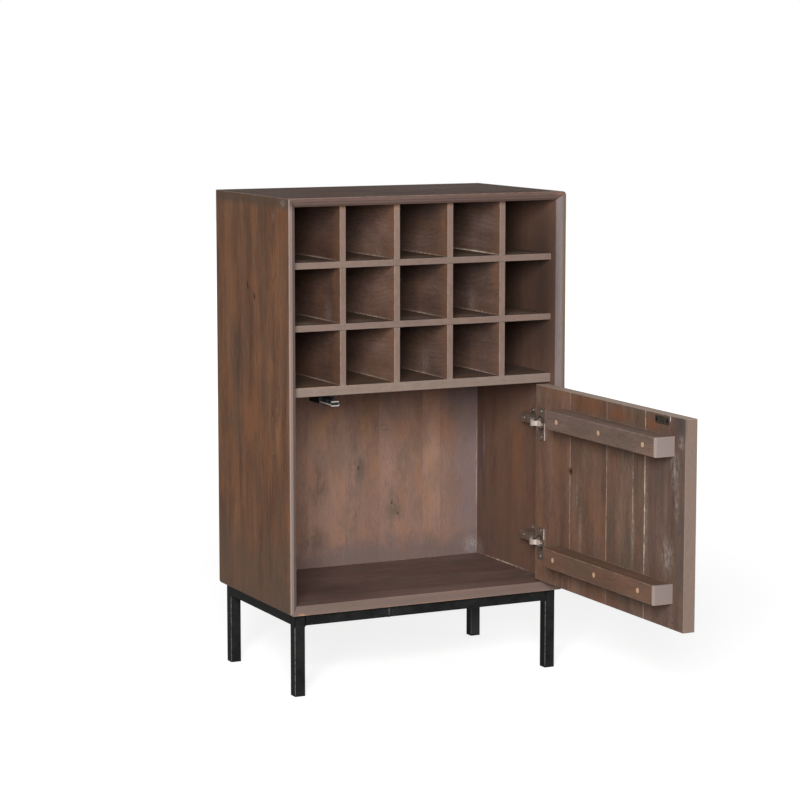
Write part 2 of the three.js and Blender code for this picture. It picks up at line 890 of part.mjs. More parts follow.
// Link from the arm's pin into the cup, drawn with its pin at the origin.
function hingeLink() {
  const middle = new THREE.CatmullRomCurve3(
    linkWebPlaces.map(({ left, front }) => new THREE.Vector3(-left, -front, 0)),
  );
  const steps = smallRoundSteps;
  const outerSide = [];
  const innerSide = [];
  for (let step = 0; step <= steps; step += 1) {
    const at = middle.getPoint(step / steps);
    const along = middle.getTangent(step / steps);
    const across = new THREE.Vector3(along.y, -along.x, 0).multiplyScalar(linkThickness / 2);
    outerSide.push([at.x + across.x, at.y + across.y]);
    innerSide.push([at.x - across.x, at.y - across.y]);
  }
  const web = prismUp(
    outline([...outerSide, ...innerSide.reverse()]),
    -linkWidth / 2,
    linkWidth / 2,
  );
  const eyeHalf = linkWidth / 2 - linkWaistDepth;
  const eye = rodUp(
    linkEyeRadius,
    -farEye.left,
    -farEye.front,
    -eyeHalf,
    eyeHalf,
    smallRoundSteps,
  );
  const start = linkWebPlaces[0];
  const second = linkWebPlaces[1];
  const earShape = new THREE.Shape();
  earShape.absarc(0, 0, armTipRadius, -Math.PI / 2, Math.PI / 2, false);
  earShape.lineTo(-start.left, -start.front);
  earShape.lineTo(-second.left, -second.front);
  const ears = [-1, 1].map((way) => {
    const near = way * (linkWidth / 2 - linkEarThickness);
    const far = way * linkWidth / 2;
    return prismUp(earShape, Math.min(near, far), Math.max(near, far));
  });
  const waistPlace = linkWebPlaces[2];
  const waists = [-1, 1].map((way) => {
    const offset = way * (linkWidth / 2 + linkWaistRadius - linkWaistDepth);
    return rodBack(
      linkWaistRadius,
      -waistPlace.left,
      offset,
      -waistPlace.front - linkWaistRadius,
      cutOverrun - second.front,
    );
  });
  const hole = rodUp(pinRadius + slideGap, 0, 0, -linkWidth, linkWidth, smallRoundSteps);
  const webWaisted = cutFrom(web, ...waists);
  return cutFrom(joined(webWaisted, eye, ...ears), hole);
}

// Pan-head screw along Y, its seat at y = 0 and its shank running to minus the given length.
function panScrew(shankLength) {
  return new THREE.LatheGeometry([
    new THREE.Vector2(0, -shankLength),
    new THREE.Vector2(screwShankRadius, -shankLength),
    new THREE.Vector2(screwShankRadius, 0),
    new THREE.Vector2(screwHeadRadius, 0),
    new THREE.Vector2(screwHeadRadius, screwHeadHeight / 2),
    new THREE.Vector2(screwHeadRadius - screwHeadHeight / 2, screwHeadHeight),
    new THREE.Vector2(screwSocketRadius, screwHeadHeight),
    new THREE.Vector2(0, screwHeadHeight - screwSocketDepth),
  ], smallRoundSteps);
}

const hinges = [
  { name: 'upper_hinge', z: upperHingeZ },
  { name: 'lower_hinge', z: lowerHingeZ },
];

for (const { name, z } of hinges) {
  addMesh(door, `${name}_cup`, hingeCup(z), nickel);
  addMesh(cabinet, `${name}_plate`, hingePlate(z), nickel);
  addMesh(cabinet, `${name}_arm`, hingeArm(z), nickel);
  const link = addMesh(cabinet, `${name}_link`, hingeLink(), nickel);
  link.position.set(armPinX, armPinY, z);
  [-1, 1].forEach((way, index) => {
    const cupScrewName = `${name}_cup_screw_${index + 1}`;
    const cupScrew = addMesh(door, cupScrewName, panScrew(flangeThickness), nickel);
    cupScrew.position.set(
      doorHingeEdge - cupScrewFromEdge,
      doorInnerFace + seatGap * 2 + flangeThickness,
      z + way * cupScrewSpacing / 2,
    );
    const plateScrewName = `${name}_plate_screw_${index + 1}`;
    const plateScrew = addMesh(cabinet, plateScrewName, panScrew(wingThickness), nickel);
    plateScrew.position.set(
      panelFace - seatGap * 2 - wingThickness,
      plateFromFront,
      z + way * wingScrewSpacing / 2,
    );
    plateScrew.rotation.z = Math.PI / 2;
  });
}

// Push catch: a housing under the rack floor, a sprung plunger with a magnet, and a strike plate

const catchX = catchFromLeft - cabinetWidth / 2;
const plungerZ = rackFloorBottom - plungerDrop;
const strikeFace = doorInnerFace + seatGap + strikeThickness;
const headFront = strikeFace + seatGap;
const headBack = headFront + headLength;
const bodyFront = headBack + plungerTravel + headStandOff;
const bodyBack = bodyFront + catchBodyLength;

function catchHousing() {
  const baseTopZ = rackFloorBottom - seatGap;
  const baseZ = baseTopZ - catchBaseThickness;
  const baseStart = rackSetBack + catchBaseSetBack;
  const base = prismUp(roundedOutline(
    catchX - catchBaseWidth / 2,
    catchX + catchBaseWidth / 2,
    baseStart,
    baseStart + catchBaseLength,
    catchBaseCornerRadius,
  ), baseZ, baseTopZ);
  const body = prismBack(roundedOutline(
    catchX - catchBodyWidth / 2,
    catchX + catchBodyWidth / 2,
    plungerZ - catchBodyHeight / 2,
    plungerZ + catchBodyHeight / 2,
    catchBodyCornerRadius,
  ), bodyFront, bodyBack);
  const web = prismAcross(outline([
    [bodyFront + catchTailRise, plungerZ],
    [bodyBack, plungerZ],
    [baseStart + catchBaseLength - catchTailRise, baseTopZ],
    [baseStart + catchTailRise, baseTopZ],
  ]), catchX - catchWebWidth / 2, catchX + catchWebWidth / 2);
  const boreHalf = plungerSize / 2 + slideGap;
  const bore = block(
    catchX - boreHalf,
    catchX + boreHalf,
    bodyFront - cutOverrun,
    headBack + plungerInside + plungerTravel + headStandOff,
    plungerZ - boreHalf,
    plungerZ + boreHalf,
  );
  return cutFrom(joined(base, body, web), bore);
}

// Plunger rod, its neck through the pole piece, and the magnet held at its front.
function catchPlunger() {
  const rodHalf = plungerSize / 2;
  const neckHalf = plungerNeck / 2;
  const magnetHalfHeight = headHeight / 2 - poleThickness - slideGap;
  const magnetHalfWidth = headWidth / 2 - slideGap;
  const webFront = headBack - poleThickness;
  const rod = block(
    catchX - rodHalf,
    catchX + rodHalf,
    headBack + slideGap,
    headBack + plungerInside,
    plungerZ - rodHalf,
    plungerZ + rodHalf,
  );
  const neck = block(
    catchX - neckHalf,
    catchX + neckHalf,
    headFront + poleReach + poleThickness,
    headBack + poleThickness,
    plungerZ - neckHalf,
    plungerZ + neckHalf,
  );
  const magnet = block(
    catchX - magnetHalfWidth,
    catchX + magnetHalfWidth,
    headFront + poleReach,
    webFront - slideGap,
    plungerZ - magnetHalfHeight,
    plungerZ + magnetHalfHeight,
  );
  return joined(rod, neck, magnet);
}

// Steel pole piece: two lips over and under the magnet, joined behind it.
function catchPoles() {
  const low = plungerZ - headHeight / 2;
  const high = plungerZ + headHeight / 2;
  const webFront = headBack - poleThickness;
  const profile = outline([
    [headFront, low],
    [headBack, low],
    [headBack, high],
    [headFront, high],
    [headFront, high - poleThickness],
    [webFront, high - poleThickness],
    [webFront, low + poleThickness],
    [headFront, low + poleThickness],
  ]);
  const holeHalf = plungerNeck / 2 + slideGap;
  const hole = block(
    catchX - holeHalf,
    catchX + holeHalf,
    webFront - cutOverrun,
    headBack + cutOverrun,
    plungerZ - holeHalf,
    plungerZ + holeHalf,
  );
  return cutFrom(prismAcross(profile, catchX - headWidth / 2, catchX + headWidth / 2), hole);
}

function strikePlate() {
  const x = doorHingeEdge - strikeFromHingeEdge;
  const z = doorTop - strikeDrop;
  const plate = prismBack(roundedOutline(
    x - strikeWidth / 2,
    x + strikeWidth / 2,
    z - strikeHeight / 2,
    z + strikeHeight / 2,
    strikeCornerRadius,
  ), doorInnerFace + seatGap, strikeFace);
  const holes = [-strikeHoleSpacing / 2, strikeHoleSpacing / 2].map((dx) => rodBack(
    strikeHoleRadius,
    x + dx,
    z,
    doorInnerFace - cutOverrun,
    strikeFace + cutOverrun,
    smallRoundSteps,
  ));
  return cutFrom(plate, ...holes);
}

addMesh(cabinet, 'catch_housing', catchHousing(), blackPlastic);
addMesh(cabinet, 'catch_plunger', catchPlunger(), blackPlastic);
addMesh(cabinet, 'catch_pole_piece', catchPoles(), nickel);
addMesh(door, 'strike_plate', strikePlate(), darkSteel);

// The origin lies on the floor, under the middle of the whole outline with the door open.
const bounds = new THREE.Box3().setFromObject(cabinet);
const middle = bounds.getCenter(new THREE.Vector3());
cabinet.position.set(-middle.x, -middle.y, -bounds.min.z);

const wineCabinet = new THREE.Group();
wineCabinet.add(cabinet);

export default wineCabinet;
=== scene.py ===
# %% [markdown]
# # A wine cabinet with a bottle rack and one plank door
#
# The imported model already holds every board, tube and hinge part at its real size. This lesson
# gives each of them its finish, adds the small hardware that sits on them, and sets up a plain
# studio. All sizes are metres: X runs to the cabinet's right, Y to its back, Z up from the floor.

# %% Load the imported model
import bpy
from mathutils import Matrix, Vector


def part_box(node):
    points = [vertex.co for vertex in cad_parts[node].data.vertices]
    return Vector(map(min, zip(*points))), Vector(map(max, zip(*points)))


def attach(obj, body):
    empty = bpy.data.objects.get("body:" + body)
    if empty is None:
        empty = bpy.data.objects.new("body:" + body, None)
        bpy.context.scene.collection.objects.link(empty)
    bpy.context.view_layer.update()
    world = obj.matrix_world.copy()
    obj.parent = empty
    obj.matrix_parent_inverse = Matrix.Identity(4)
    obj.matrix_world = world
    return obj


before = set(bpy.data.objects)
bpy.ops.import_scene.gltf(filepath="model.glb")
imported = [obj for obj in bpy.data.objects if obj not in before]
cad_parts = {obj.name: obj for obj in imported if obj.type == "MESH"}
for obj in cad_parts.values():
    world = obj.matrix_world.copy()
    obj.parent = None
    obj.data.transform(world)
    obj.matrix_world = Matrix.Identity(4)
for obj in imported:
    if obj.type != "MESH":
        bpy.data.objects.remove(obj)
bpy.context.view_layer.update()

import math
import bmesh
import bpy
from mathutils import Matrix, Vector

# %% [markdown]
# ## The camera
#
# The photograph was taken from the left and a little above, with a long lens, so the cabinet's
# edges hardly converge. A camera could be aimed with a constraint, but plain numbers for its
# place, its turn and its lens keep the view the same on every run.

# %% Camera
CAMERA_PLACE = (-2.2726, -4.4174, 1.2431)
CAMERA_TURN = 0.4557
CAMERA_DIP = 0.1339
LENS = 117.5
SENSOR_WIDTH = 36.0
FAR_END = 60.0


def placed(name, data):
    """A new object in the scene, at the origin."""
    made = bpy.data.objects.new(name, data)
    bpy.context.scene.collection.objects.link(made)
    return made


camera = placed("camera", bpy.data.cameras.new("camera"))
camera.location = CAMERA_PLACE
camera.rotation_euler = (math.pi / 2 - CAMERA_DIP, 0.0, -CAMERA_TURN)
camera.data.lens = LENS
camera.data.sensor_width = SENSOR_WIDTH
camera.data.clip_end = FAR_END
bpy.context.scene.camera = camera
bpy.context.scene.view_settings.view_transform = "Standard"
print(f"lens {LENS} mm, turned {math.degrees(CAMERA_TURN):.1f} degrees")

# %% [markdown]
# ## Joining shader nodes
#
# Every finish below is a small network of shader nodes. Networks can be drawn by hand in the
# editor, but a few helpers that make a node and plug values in keep them short enough to read.
# Most return the socket that carries their result. A socket knows its network, so the next
# helper needs no other hint of where to work.


# %% Single nodes
def colour(text):
    """A web colour such as 6d4e3c as linear light on the sRGB curve, with full alpha."""
    shares = [int(text[at : at + 2], 16) / 255 for at in (0, 2, 4)]
    linear = [c / 12.92 if c <= 0.04045 else ((c + 0.055) / 1.055) ** 2.4 for c in shares]
    return (*linear, 1.0)


def node(kind, inputs, out=0, **settings):
    """Adds a node beside its linked inputs, fills them by name or number, returns one output."""
    pairs = list(inputs.items() if isinstance(inputs, dict) else enumerate(inputs))
    links = [(key, value) for key, value in pairs if isinstance(value, bpy.types.NodeSocket)]
    tree = links[0][1].id_data
    made = tree.nodes.new("ShaderNode" + kind)
    for name, value in settings.items():
        setattr(made, name, value)
    for key, value in pairs:
        if (key, value) in links:
            tree.links.new(value, made.inputs[key])
        else:
            made.inputs[key].default_value = value
    return made.outputs[out]


def maths(operation, *values):
    return node("Math", values, operation=operation)


def times(*values):
    return maths("MULTIPLY", *values)


def along(place, axis):
    """One of the three numbers of a coordinate."""
    return node("SeparateXYZ", [place], out=axis)


print("half grey is", round(colour("808080")[0], 3), "of full light")

# %% [markdown]
# ## Patterns and soft masks
#
# A pore is about a millimetre wide on every board. So each pattern is noise in object
# coordinates, with lumps of a size in metres. Generated coordinates would stretch with the piece.

# %% Patterns and masks
SEED_SHIFT = (1.0, 1.7, 0.6)


def moved(place, scale=(1, 1, 1), shift=(0, 0, 0), turn=(0, 0, 0)):
    """A coordinate scaled, then turned, then shifted."""
    return node("Mapping", [place, shift, turn, scale])


def cloud(place, size, detail, rough, seed):
    """Noise from 0 to 1 whose lumps measure about size on X, Y and Z."""
    shift = [seed * share for share in SEED_SHIFT]
    at = moved(place, scale=[1 / s for s in size], shift=shift)
    settings = {"Vector": at, "Scale": 1.0, "Detail": detail, "Roughness": rough}
    return node("TexNoise", settings)


def span(value, low, high, to_low=0.0, to_high=1.0):
    """Spreads the range low to high over to_low to to_high, with soft ends."""
    ends = [value, low, high, to_low, to_high]
    return node("MapRange", ends, interpolation_type="SMOOTHSTEP")


def spot(place, centre, reach, core=0.0):
    """1 at the centre, fading to 0 where the ellipsoid of half lengths reach ends."""
    offset = node("VectorMath", [place, centre], operation="SUBTRACT")
    shares = node("VectorMath", [offset, reach], operation="DIVIDE")
    length = node("VectorMath", [shares], out="Value", operation="LENGTH")
    return span(length, 1.0, core)


print("one step of a seed moves the noise by", SEED_SHIFT, "lumps")


# %% Colours and materials
def ramp(value, *stops):
    """A colour for each value: stops are pairs of a position and a web colour."""
    socket = node("ValToRGB", [value])
    band = socket.node.color_ramp
    while len(band.elements) < len(stops):
        band.elements.new(0.5)
    for element, (position, text) in zip(band.elements, stops):
        element.position = position
        element.color = colour(text)
    return socket


def tinted(under, over, amount):
    """Lays a web colour over the colour under, as far as amount says."""
    layers = {0: amount, 6: under, 7: colour(over)}
    return node("Mix", layers, out=2, data_type="RGBA")


def start(name, metallic, specular):
    """A new material, its object coordinate and its shader."""
    material = bpy.data.materials.new(name)
    material.use_nodes = True
    tree = material.node_tree
    shader = tree.nodes["Principled BSDF"]
    shader.inputs["Metallic"].default_value = metallic
    shader.inputs["Specular IOR Level"].default_value = specular
    place = tree.nodes.new("ShaderNodeTexCoord").outputs["Object"]
    return material, place, shader


def finish(shader, base, rough, height, depth):
    """Plugs in colour and roughness, and turns height from 0 to 1 into dents of that depth."""
    dents = node("Bump", {"Height": height, "Distance": depth, "Strength": 1.0}, out="Normal")
    for name, socket in (("Base Color", base), ("Roughness", rough), ("Normal", dents)):
        shader.id_data.links.new(socket, shader.inputs[name])


print("dark brown stain in linear light:", [round(share, 3) for share in colour("3a2417")])

# %% [markdown]
# ## Edges that hands and cloths have worn
#
# Stain rubs off where a board has an edge. On a board shaped like a box, the edge distance of a
# point is the middle one of its three distances to the nearest faces: the smallest is about zero
# because the point lies on a face. A Bevel node could find edges too, but this sum is exact,
# costs nothing to render and bakes cleanly.


# %% Edge distance
def edge_distance(place, low, high):
    """How far a point on a box-shaped board is from the nearest edge of that box."""
    axes = along(place, 0).node.outputs
    near = []
    for axis in range(3):
        from_low = maths("SUBTRACT", axes[axis], low[axis])
        from_high = maths("SUBTRACT", high[axis], axes[axis])
        near.append(maths("MINIMUM", from_low, from_high))
    small = maths("MINIMUM", near[0], near[1])
    large = maths("MAXIMUM", near[0], near[1])
    return maths("MAXIMUM", small, maths("MINIMUM", large, near[2]))


# %% [markdown]
# ## Stained hardwood
#
# The cabinet is a medium-grained hardwood under a thin grey-brown stain. A plank is a slice of a
# trunk, so its figure is modelled as one: growth rings are distances from an axis that runs
# nearly along the board, and a small tilt of that axis draws the long arches of a flat-sawn
# face. Fibres, pores and stain clouds are noise stretched along the grain. A Wave texture would
# give rings as well, but a distance can also bulge round knots.

# %% The board in its trunk
GRAIN_TURN = {"X": (0.0, math.pi / 2, 0.0), "Y": (math.pi / 2, 0.0, 0.0), "Z": (0.0, 0.0, 0.0)}
TRUNK_SHIFT = (0.13, -0.16, 0.0)
TRUNK_SEED_SHIFT = (0.031, 0.0, 0.017)
FIRST_LEAP, NEXT_LEAP = 0.19, 0.07
SWIRL_SIZE = (0.09, 0.09, 0.2)
SWIRL_REACH = (0.03, 0.03, 0.02)


def in_trunk(place, grain, seed, joints):
    """The board's coordinate inside its trunk, grain along Z, and the tone of each glued strip."""
    shift = [at + seed * step for at, step in zip(TRUNK_SHIFT, TRUNK_SEED_SHIFT)]
    trunk = moved(place, shift=shift, turn=GRAIN_TURN[grain])
    tone = 0.0
    if joints:
        axis, strips = joints
        across = along(place, axis)
        for number, (at, change) in enumerate(strips):
            passed = maths("GREATER_THAN", across, at)
            tone = maths("MULTIPLY_ADD", passed, change, tone)
            length = times(passed, FIRST_LEAP + NEXT_LEAP * number)
            leap = node("CombineXYZ", [length])
            trunk = node("VectorMath", [trunk, leap], operation="ADD")
    swirl = cloud(trunk, SWIRL_SIZE, 3.0, 0.5, seed).node.outputs["Color"]
    bent = node("VectorMath", [swirl, SWIRL_REACH, trunk], operation="MULTIPLY_ADD")
    return bent, tone


print(f"the trunk's heart lies {math.hypot(*TRUNK_SHIFT):.2f} m from the origin")

# %% Growth rings
RING = 0.0052
AXIS_TILT = (0.03, 0.018, 0.0)
KNOT_SPREAD = 3.2
KNOT_BULGE = 0.02


def ring_lines(place, trunk, knots):
    """Growth rings from 0 to 1, closing round the knots. Each ends in a thin dark line."""
    tilted = moved(trunk, turn=AXIS_TILT)
    sides = along(tilted, 0).node.outputs
    squares = [times(side, side) for side in (sides[0], sides[1])]
    radius = maths("SQRT", maths("ADD", *squares))
    for centre, reach in knots:
        bulge = spot(place, centre, [r * KNOT_SPREAD for r in reach])
        radius = maths("MULTIPLY_ADD", bulge, KNOT_BULGE, radius)
    share = maths("FRACT", maths("DIVIDE", radius, RING))
    return times(share, times(share, share))


print(f"a growth ring is {1000 * RING} mm wide")

# %% [markdown]
# ## From figure to finish
#
# Stain sinks in unevenly. Over the figure lie warm patches, where the brown of the wood shows,
# and cool ones, where the grey-green pigment stayed. On top come the local things a particular
# board has: bands along an edge, knots, rubbed spots and dust, each a soft mask in object
# coordinates mixed over the colour below it. A painted image could hold all of this, but masks
# stay sharp at any size and need no file.

# %% Bands
X, Y, Z = 0, 1, 2
GRIT_PUSH = 1.4


def banded(place, axis, start_at, full_at, grit, seed):
    """A mask that grows from start_at to full_at along one axis, broken up by noise."""
    at = along(place, axis)
    if grit:
        push = (start_at - full_at) * GRIT_PUSH
        noise = cloud(place, (grit,) * 3, 3.0, 0.6, seed)
        at = maths("SUBTRACT", maths("MULTIPLY_ADD", noise, push, at), push / 2)
    return span(at, start_at, full_at)


print("grit moves the edge of a band by", GRIT_PUSH, "of its width")

# %% Marks and worn edges
GRIT_STRETCH = 2.5


def on_face(axis, face, depth):
    """Makes a helper for marks on one flat face, where all marks reach equally deep."""

    def mark(across, up, wide, tall, over, amount, grit=0.0):
        centre, reach = [across, up], [wide, tall]
        centre.insert(axis, face)
        reach.insert(axis, depth)
        return centre, reach, over, amount, grit

    return mark


def with_marks(place, base, marks, seed):
    """Lays soft local spots on a colour: centre, half lengths, colour, strength and grit."""
    for centre, reach, over, amount, grit in marks:
        blot = spot(place, centre, reach)
        if grit:
            broken = cloud(place, (grit, grit, grit * GRIT_STRETCH), 4.0, 0.65, seed)
            blot = times(blot, span(broken, 0.36, 0.62))
        base = tinted(base, over, times(blot, amount))
    return base


def worn_edge(place, worn, uneven, full_at, seed):
    """A mask along the edges of a box: worn is the box, a width, a strength and guards."""
    low, high, width, amount, *guards = worn
    reach = times(uneven, width)
    distance = edge_distance(place, low, high)
    edge = span(maths("DIVIDE", distance, reach), 1.0, full_at)
    for guard in guards:
        edge = times(edge, banded(place, *guard, 0.0, seed))
    return times(edge, amount)


print("a mark's grit is", GRIT_STRETCH, "times as tall as it is wide")

# %% [markdown]
# ## The layers of a stained board
#
# Fibres, streaks and broad shades make the figure. Then come the patches of stain, the open
# pores and the rubbed edges. Each is a cloud with its own size, and with its own seed step, so
# that no two clouds of a board are alike. A table keeps these numbers in one place.

# %% Layers
FIBRES = ((0.0014, 0.0014, 0.02), 4.0, 0.65, 7)
STREAKS = ((0.028, 0.028, 0.34), 5.0, 0.6, 3)
BROAD_SHADES = ((0.07, 0.07, 0.22), 4.0, 0.55, 5)
WARM_PATCHES = ((0.05, 0.05, 0.11), 5.0, 0.6, 11)
COOL_PATCHES = ((0.05, 0.05, 0.11), 5.0, 0.6, 23)
PORES = ((0.0015, 0.0015, 0.014), 1.0, 0.5, 13)
RUBBED = ((0.02, 0.02, 0.02), 4.0, 0.65, 19)
BAND_STEP, MARK_STEP = 15, 17


def layer(place, kind, seed):
    """One cloud of the table: the size of its lumps, detail, roughness and seed step."""
    size, detail, rough, step = kind
    return cloud(place, size, detail, rough, seed + step)


print("fibres", [round(1000 * side, 1) for side in FIBRES[0]], "mm")

# %% Figure and stain
BROAD_SHARE = 0.42
STREAK_SHARE = 0.82
RING_SHARE = 0.1
TONE_PLACES = (0.42, 0.6, 0.78)
PORE_COLOUR = "2f221c"


def figured(trunk, tone, lines, fine, seed):
    """The shade of the wood and the fibres in it. Their share fine is taken from the streaks."""
    fibre = layer(trunk, FIBRES, seed)
    streak = layer(trunk, STREAKS, seed)
    broad = layer(trunk, BROAD_SHADES, seed)
    shade = maths("MULTIPLY_ADD", broad, BROAD_SHARE, tone)
    shade = maths("MULTIPLY_ADD", streak, STREAK_SHARE - fine, shade)
    shade = maths("MULTIPLY_ADD", fibre, fine, shade)
    ring = times(lines, span(broad, 0.35, 0.65, 0.15, 1.0))
    return maths("MULTIPLY_ADD", ring, -RING_SHARE, shade), fibre


def stained(trunk, shade, tones, warm, cool, pores, seed):
    """The colour for each shade, with warm and cool patches over it and dark open pores."""
    base = ramp(shade, *zip(TONE_PLACES, tones))
    for (tint, amount), kind in ((warm, WARM_PATCHES), (cool, COOL_PATCHES)):
        patch = span(layer(trunk, kind, seed), 0.42, 0.7, 0.0, amount)
        base = tinted(base, tint, patch)
    pit = span(layer(trunk, PORES, seed), 0.6, 0.74)
    return tinted(base, PORE_COLOUR, times(pit, pores)), pit


print("the tones of a wood lie at shades", TONE_PLACES)

# %% Bands and saw lines over the stain
STAIN_LEFT = 0.72
SAW_PITCH = 0.0034
SAW_SLOPE = 0.8
SAW_WANDER = 0.0012
SAW_STRENGTH = 0.17
SAW_COLOUR = "c3b8b3"


def with_bands(place, base, bands, fibre, seed):
    """Lays bands on a colour. Here and there a fibre keeps some of its stain."""
    for axis, start_at, full_at, over, amount, grit, *guards in bands:
        mask = banded(place, axis, start_at, full_at, grit, seed + BAND_STEP)
        for guard in guards:
            mask = times(mask, banded(place, *guard, 0.0, seed))
        through = span(fibre, 0.3, 0.7, amount, amount * STAIN_LEFT)
        base = tinted(base, over, times(mask, through))
    return base


def with_saw_lines(place, base, sawn_band, fibre, seed):
    """Lays the pale slanting lines of a saw on a colour, as far as the band reaches."""
    turned = moved(place, turn=(0.0, SAW_SLOPE, 0.0))
    slant = maths("MULTIPLY_ADD", fibre, SAW_WANDER, along(turned, Z))
    wave = maths("SINE", times(slant, 2 * math.pi / SAW_PITCH))
    line = span(wave, -0.2, 0.9, 0.0, SAW_STRENGTH)
    cut_face = banded(place, *sawn_band, 0.0, seed)
    return tinted(base, SAW_COLOUR, times(line, cut_face))


print(f"saw lines are {1000 * SAW_PITCH} mm apart")

# %% Wood recipe
KNOT_COLOUR = "2c1c17"
KNOT_CORE, KNOT_STRENGTH = 0.25, 0.75
WOOD_ROUGH, FIBRE_ROUGH = 0.49, 0.22
FIBRE_HEIGHT = 0.5
GRAIN_DEPTH = 0.0002


def wood(name, grain, tones, seed, warm=("7b573c", 0.5), cool=("564c40", 0.5), pores=0.42,
         fine=0.3, joints=None, bands=(), knots=(), marks=(), sawn_band=None, worn=None,
         pale="8f7b6f", specular=0.06):
    """Stained wood. tones run from dark to light; bands, knots and marks are placed one by one.

    A band may end in guards, further rows of an axis with its start and full place: the band
    shows only where all of them are full.
    """
    material, place, shader = start(name, 0.0, specular)
    trunk, tone = in_trunk(place, grain, seed, joints)
    lines = ring_lines(place, trunk, knots)
    shade, fibre = figured(trunk, tone, lines, fine, seed)
    base, pit = stained(trunk, shade, tones, warm, cool, pores, seed)
    base = with_bands(place, base, bands, fibre, seed)
    for centre, reach in knots:
        heart = spot(place, centre, reach, KNOT_CORE)
        base = tinted(base, KNOT_COLOUR, times(heart, KNOT_STRENGTH))
    base = with_marks(place, base, marks, seed + MARK_STEP)
    if sawn_band:
        base = with_saw_lines(place, base, sawn_band, fibre, seed)
    if worn:
        uneven = span(layer(place, RUBBED, seed), 0.3, 0.75, 0.3, 1.5)
        base = tinted(base, pale, worn_edge(place, worn, uneven, 0.2, seed))
    sheen = maths("MULTIPLY_ADD", fibre, FIBRE_ROUGH, WOOD_ROUGH)
    height = maths("SUBTRACT", times(fibre, FIBRE_HEIGHT), pit)
    finish(shader, base, sheen, height, GRAIN_DEPTH)
    return material


print(f"the grain is {1000 * GRAIN_DEPTH} mm deep")


# %% Dressing a piece
def wear(node_name, width, amount, grow=(0, 0, 0)):
    """The worn row of a finish: the piece's box, widened by grow where wear must not show."""
    low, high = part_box(node_name)
    return (low - Vector(grow), high + Vector(grow), width, amount)


def dress(names, material):
    """Gives the finish to CAD pieces by name."""
    for name in names:
        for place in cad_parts[name].material_slots:
            place.material = material
    print(f"{material.name}: {', '.join(names)}")


print("low corner of the left side's worn box:", wear("left_side_panel", 0.0, 0.0)[0])

# %% [markdown]
# ## The left side
#
# Two sides, a top and a bottom meet in mitres. The outer front edge of each is rubbed, so the
# front shows a pale frame. The left side has two small knots joined by a short crack. They are
# placed one by one, because noise would scatter them anywhere. The stain is darker near the top,
# the foot and the front.

# %% Left side
FRONT = (Y, 0.0975, 0.0935)
FRONT_FACE = 0.0845
ALL_ALONG = 3.0
LEFT_FACE = -0.3
KNOT_HIGH = (0.2846, 0.785)
KNOT_LOW = (0.2505, 0.765)
CRACK_STEPS = 7
on_left = on_face(X, LEFT_FACE, 0.01)
crack = []
for step in range(1, CRACK_STEPS):
    y, z = (high + (low - high) * step / CRACK_STEPS for high, low in zip(KNOT_HIGH, KNOT_LOW))
    crack.append(on_left(y, z, 0.0046, 0.0044, "2e1b12", 0.55))
side_left = wood(
    "side_wood_left", "Z", ("3a2417", "60412e", "815b41"), 1.0,
    warm=("7e5336", 0.5), cool=("4c4034", 0.45), fine=0.32,
    worn=wear("left_side_panel", 0.0014, 0.55),
    bands=[
        (Z, 0.36, 0.2, "51443a", 0.6, 0.05),
        (*FRONT, "817470", 0.85, 0.02, (X, -0.2998, -0.2992)),
        (Z, 0.936, 0.951, "443a31", 0.8, 0.03),
    ],
    knots=[
        ((LEFT_FACE, *KNOT_HIGH), (0.01, 0.0045, 0.011)),
        ((LEFT_FACE, *KNOT_LOW), (0.01, 0.006, 0.0075)),
    ],
    marks=crack + [
        on_left(0.262, 0.79, 0.016, 0.05, "8a5236", 0.35),
        on_left(0.258, 0.84, 0.012, 0.07, "8a5a38", 0.4, 0.03),
        on_left(*KNOT_HIGH, 0.0045, 0.014, "24140d", 0.95),
        on_left(*KNOT_LOW, 0.0045, 0.011, "24140d", 0.95),
        on_left(0.2415, 0.645, 0.003, 0.02, "33211a", 0.8),
        on_left(0.3365, 0.6411, 0.02, 0.1, "3a281d", 0.55, 0.02),
        on_left(0.2778, 0.5185, 0.02, 0.1, "865536", 0.4, 0.02),
        on_left(0.157, 0.925, 0.014, 0.016, "8f8780", 0.35, 0.003),
        on_left(0.2482, 0.4887, 0.003, 0.022, "33211a", 0.8),
        # Painted highlight: a pale line down the outer front edge.
        ((-0.2985, FRONT_FACE, 0.56), (0.0022, 0.003, ALL_ALONG), "a5968f", 0.45, 0.0),
        on_left(0.28, 0.9, 0.3, 0.12, "4b2f1d", 0.55, 0.05),
        on_left(0.095, 0.75, 0.035, 0.25, "4a382e", 0.6, 0.04),
        on_left(0.11, 0.953, 0.02, 0.012, "a29c98", 0.4, 0.002),
    ],
)
dress(["left_side_panel"], side_left)
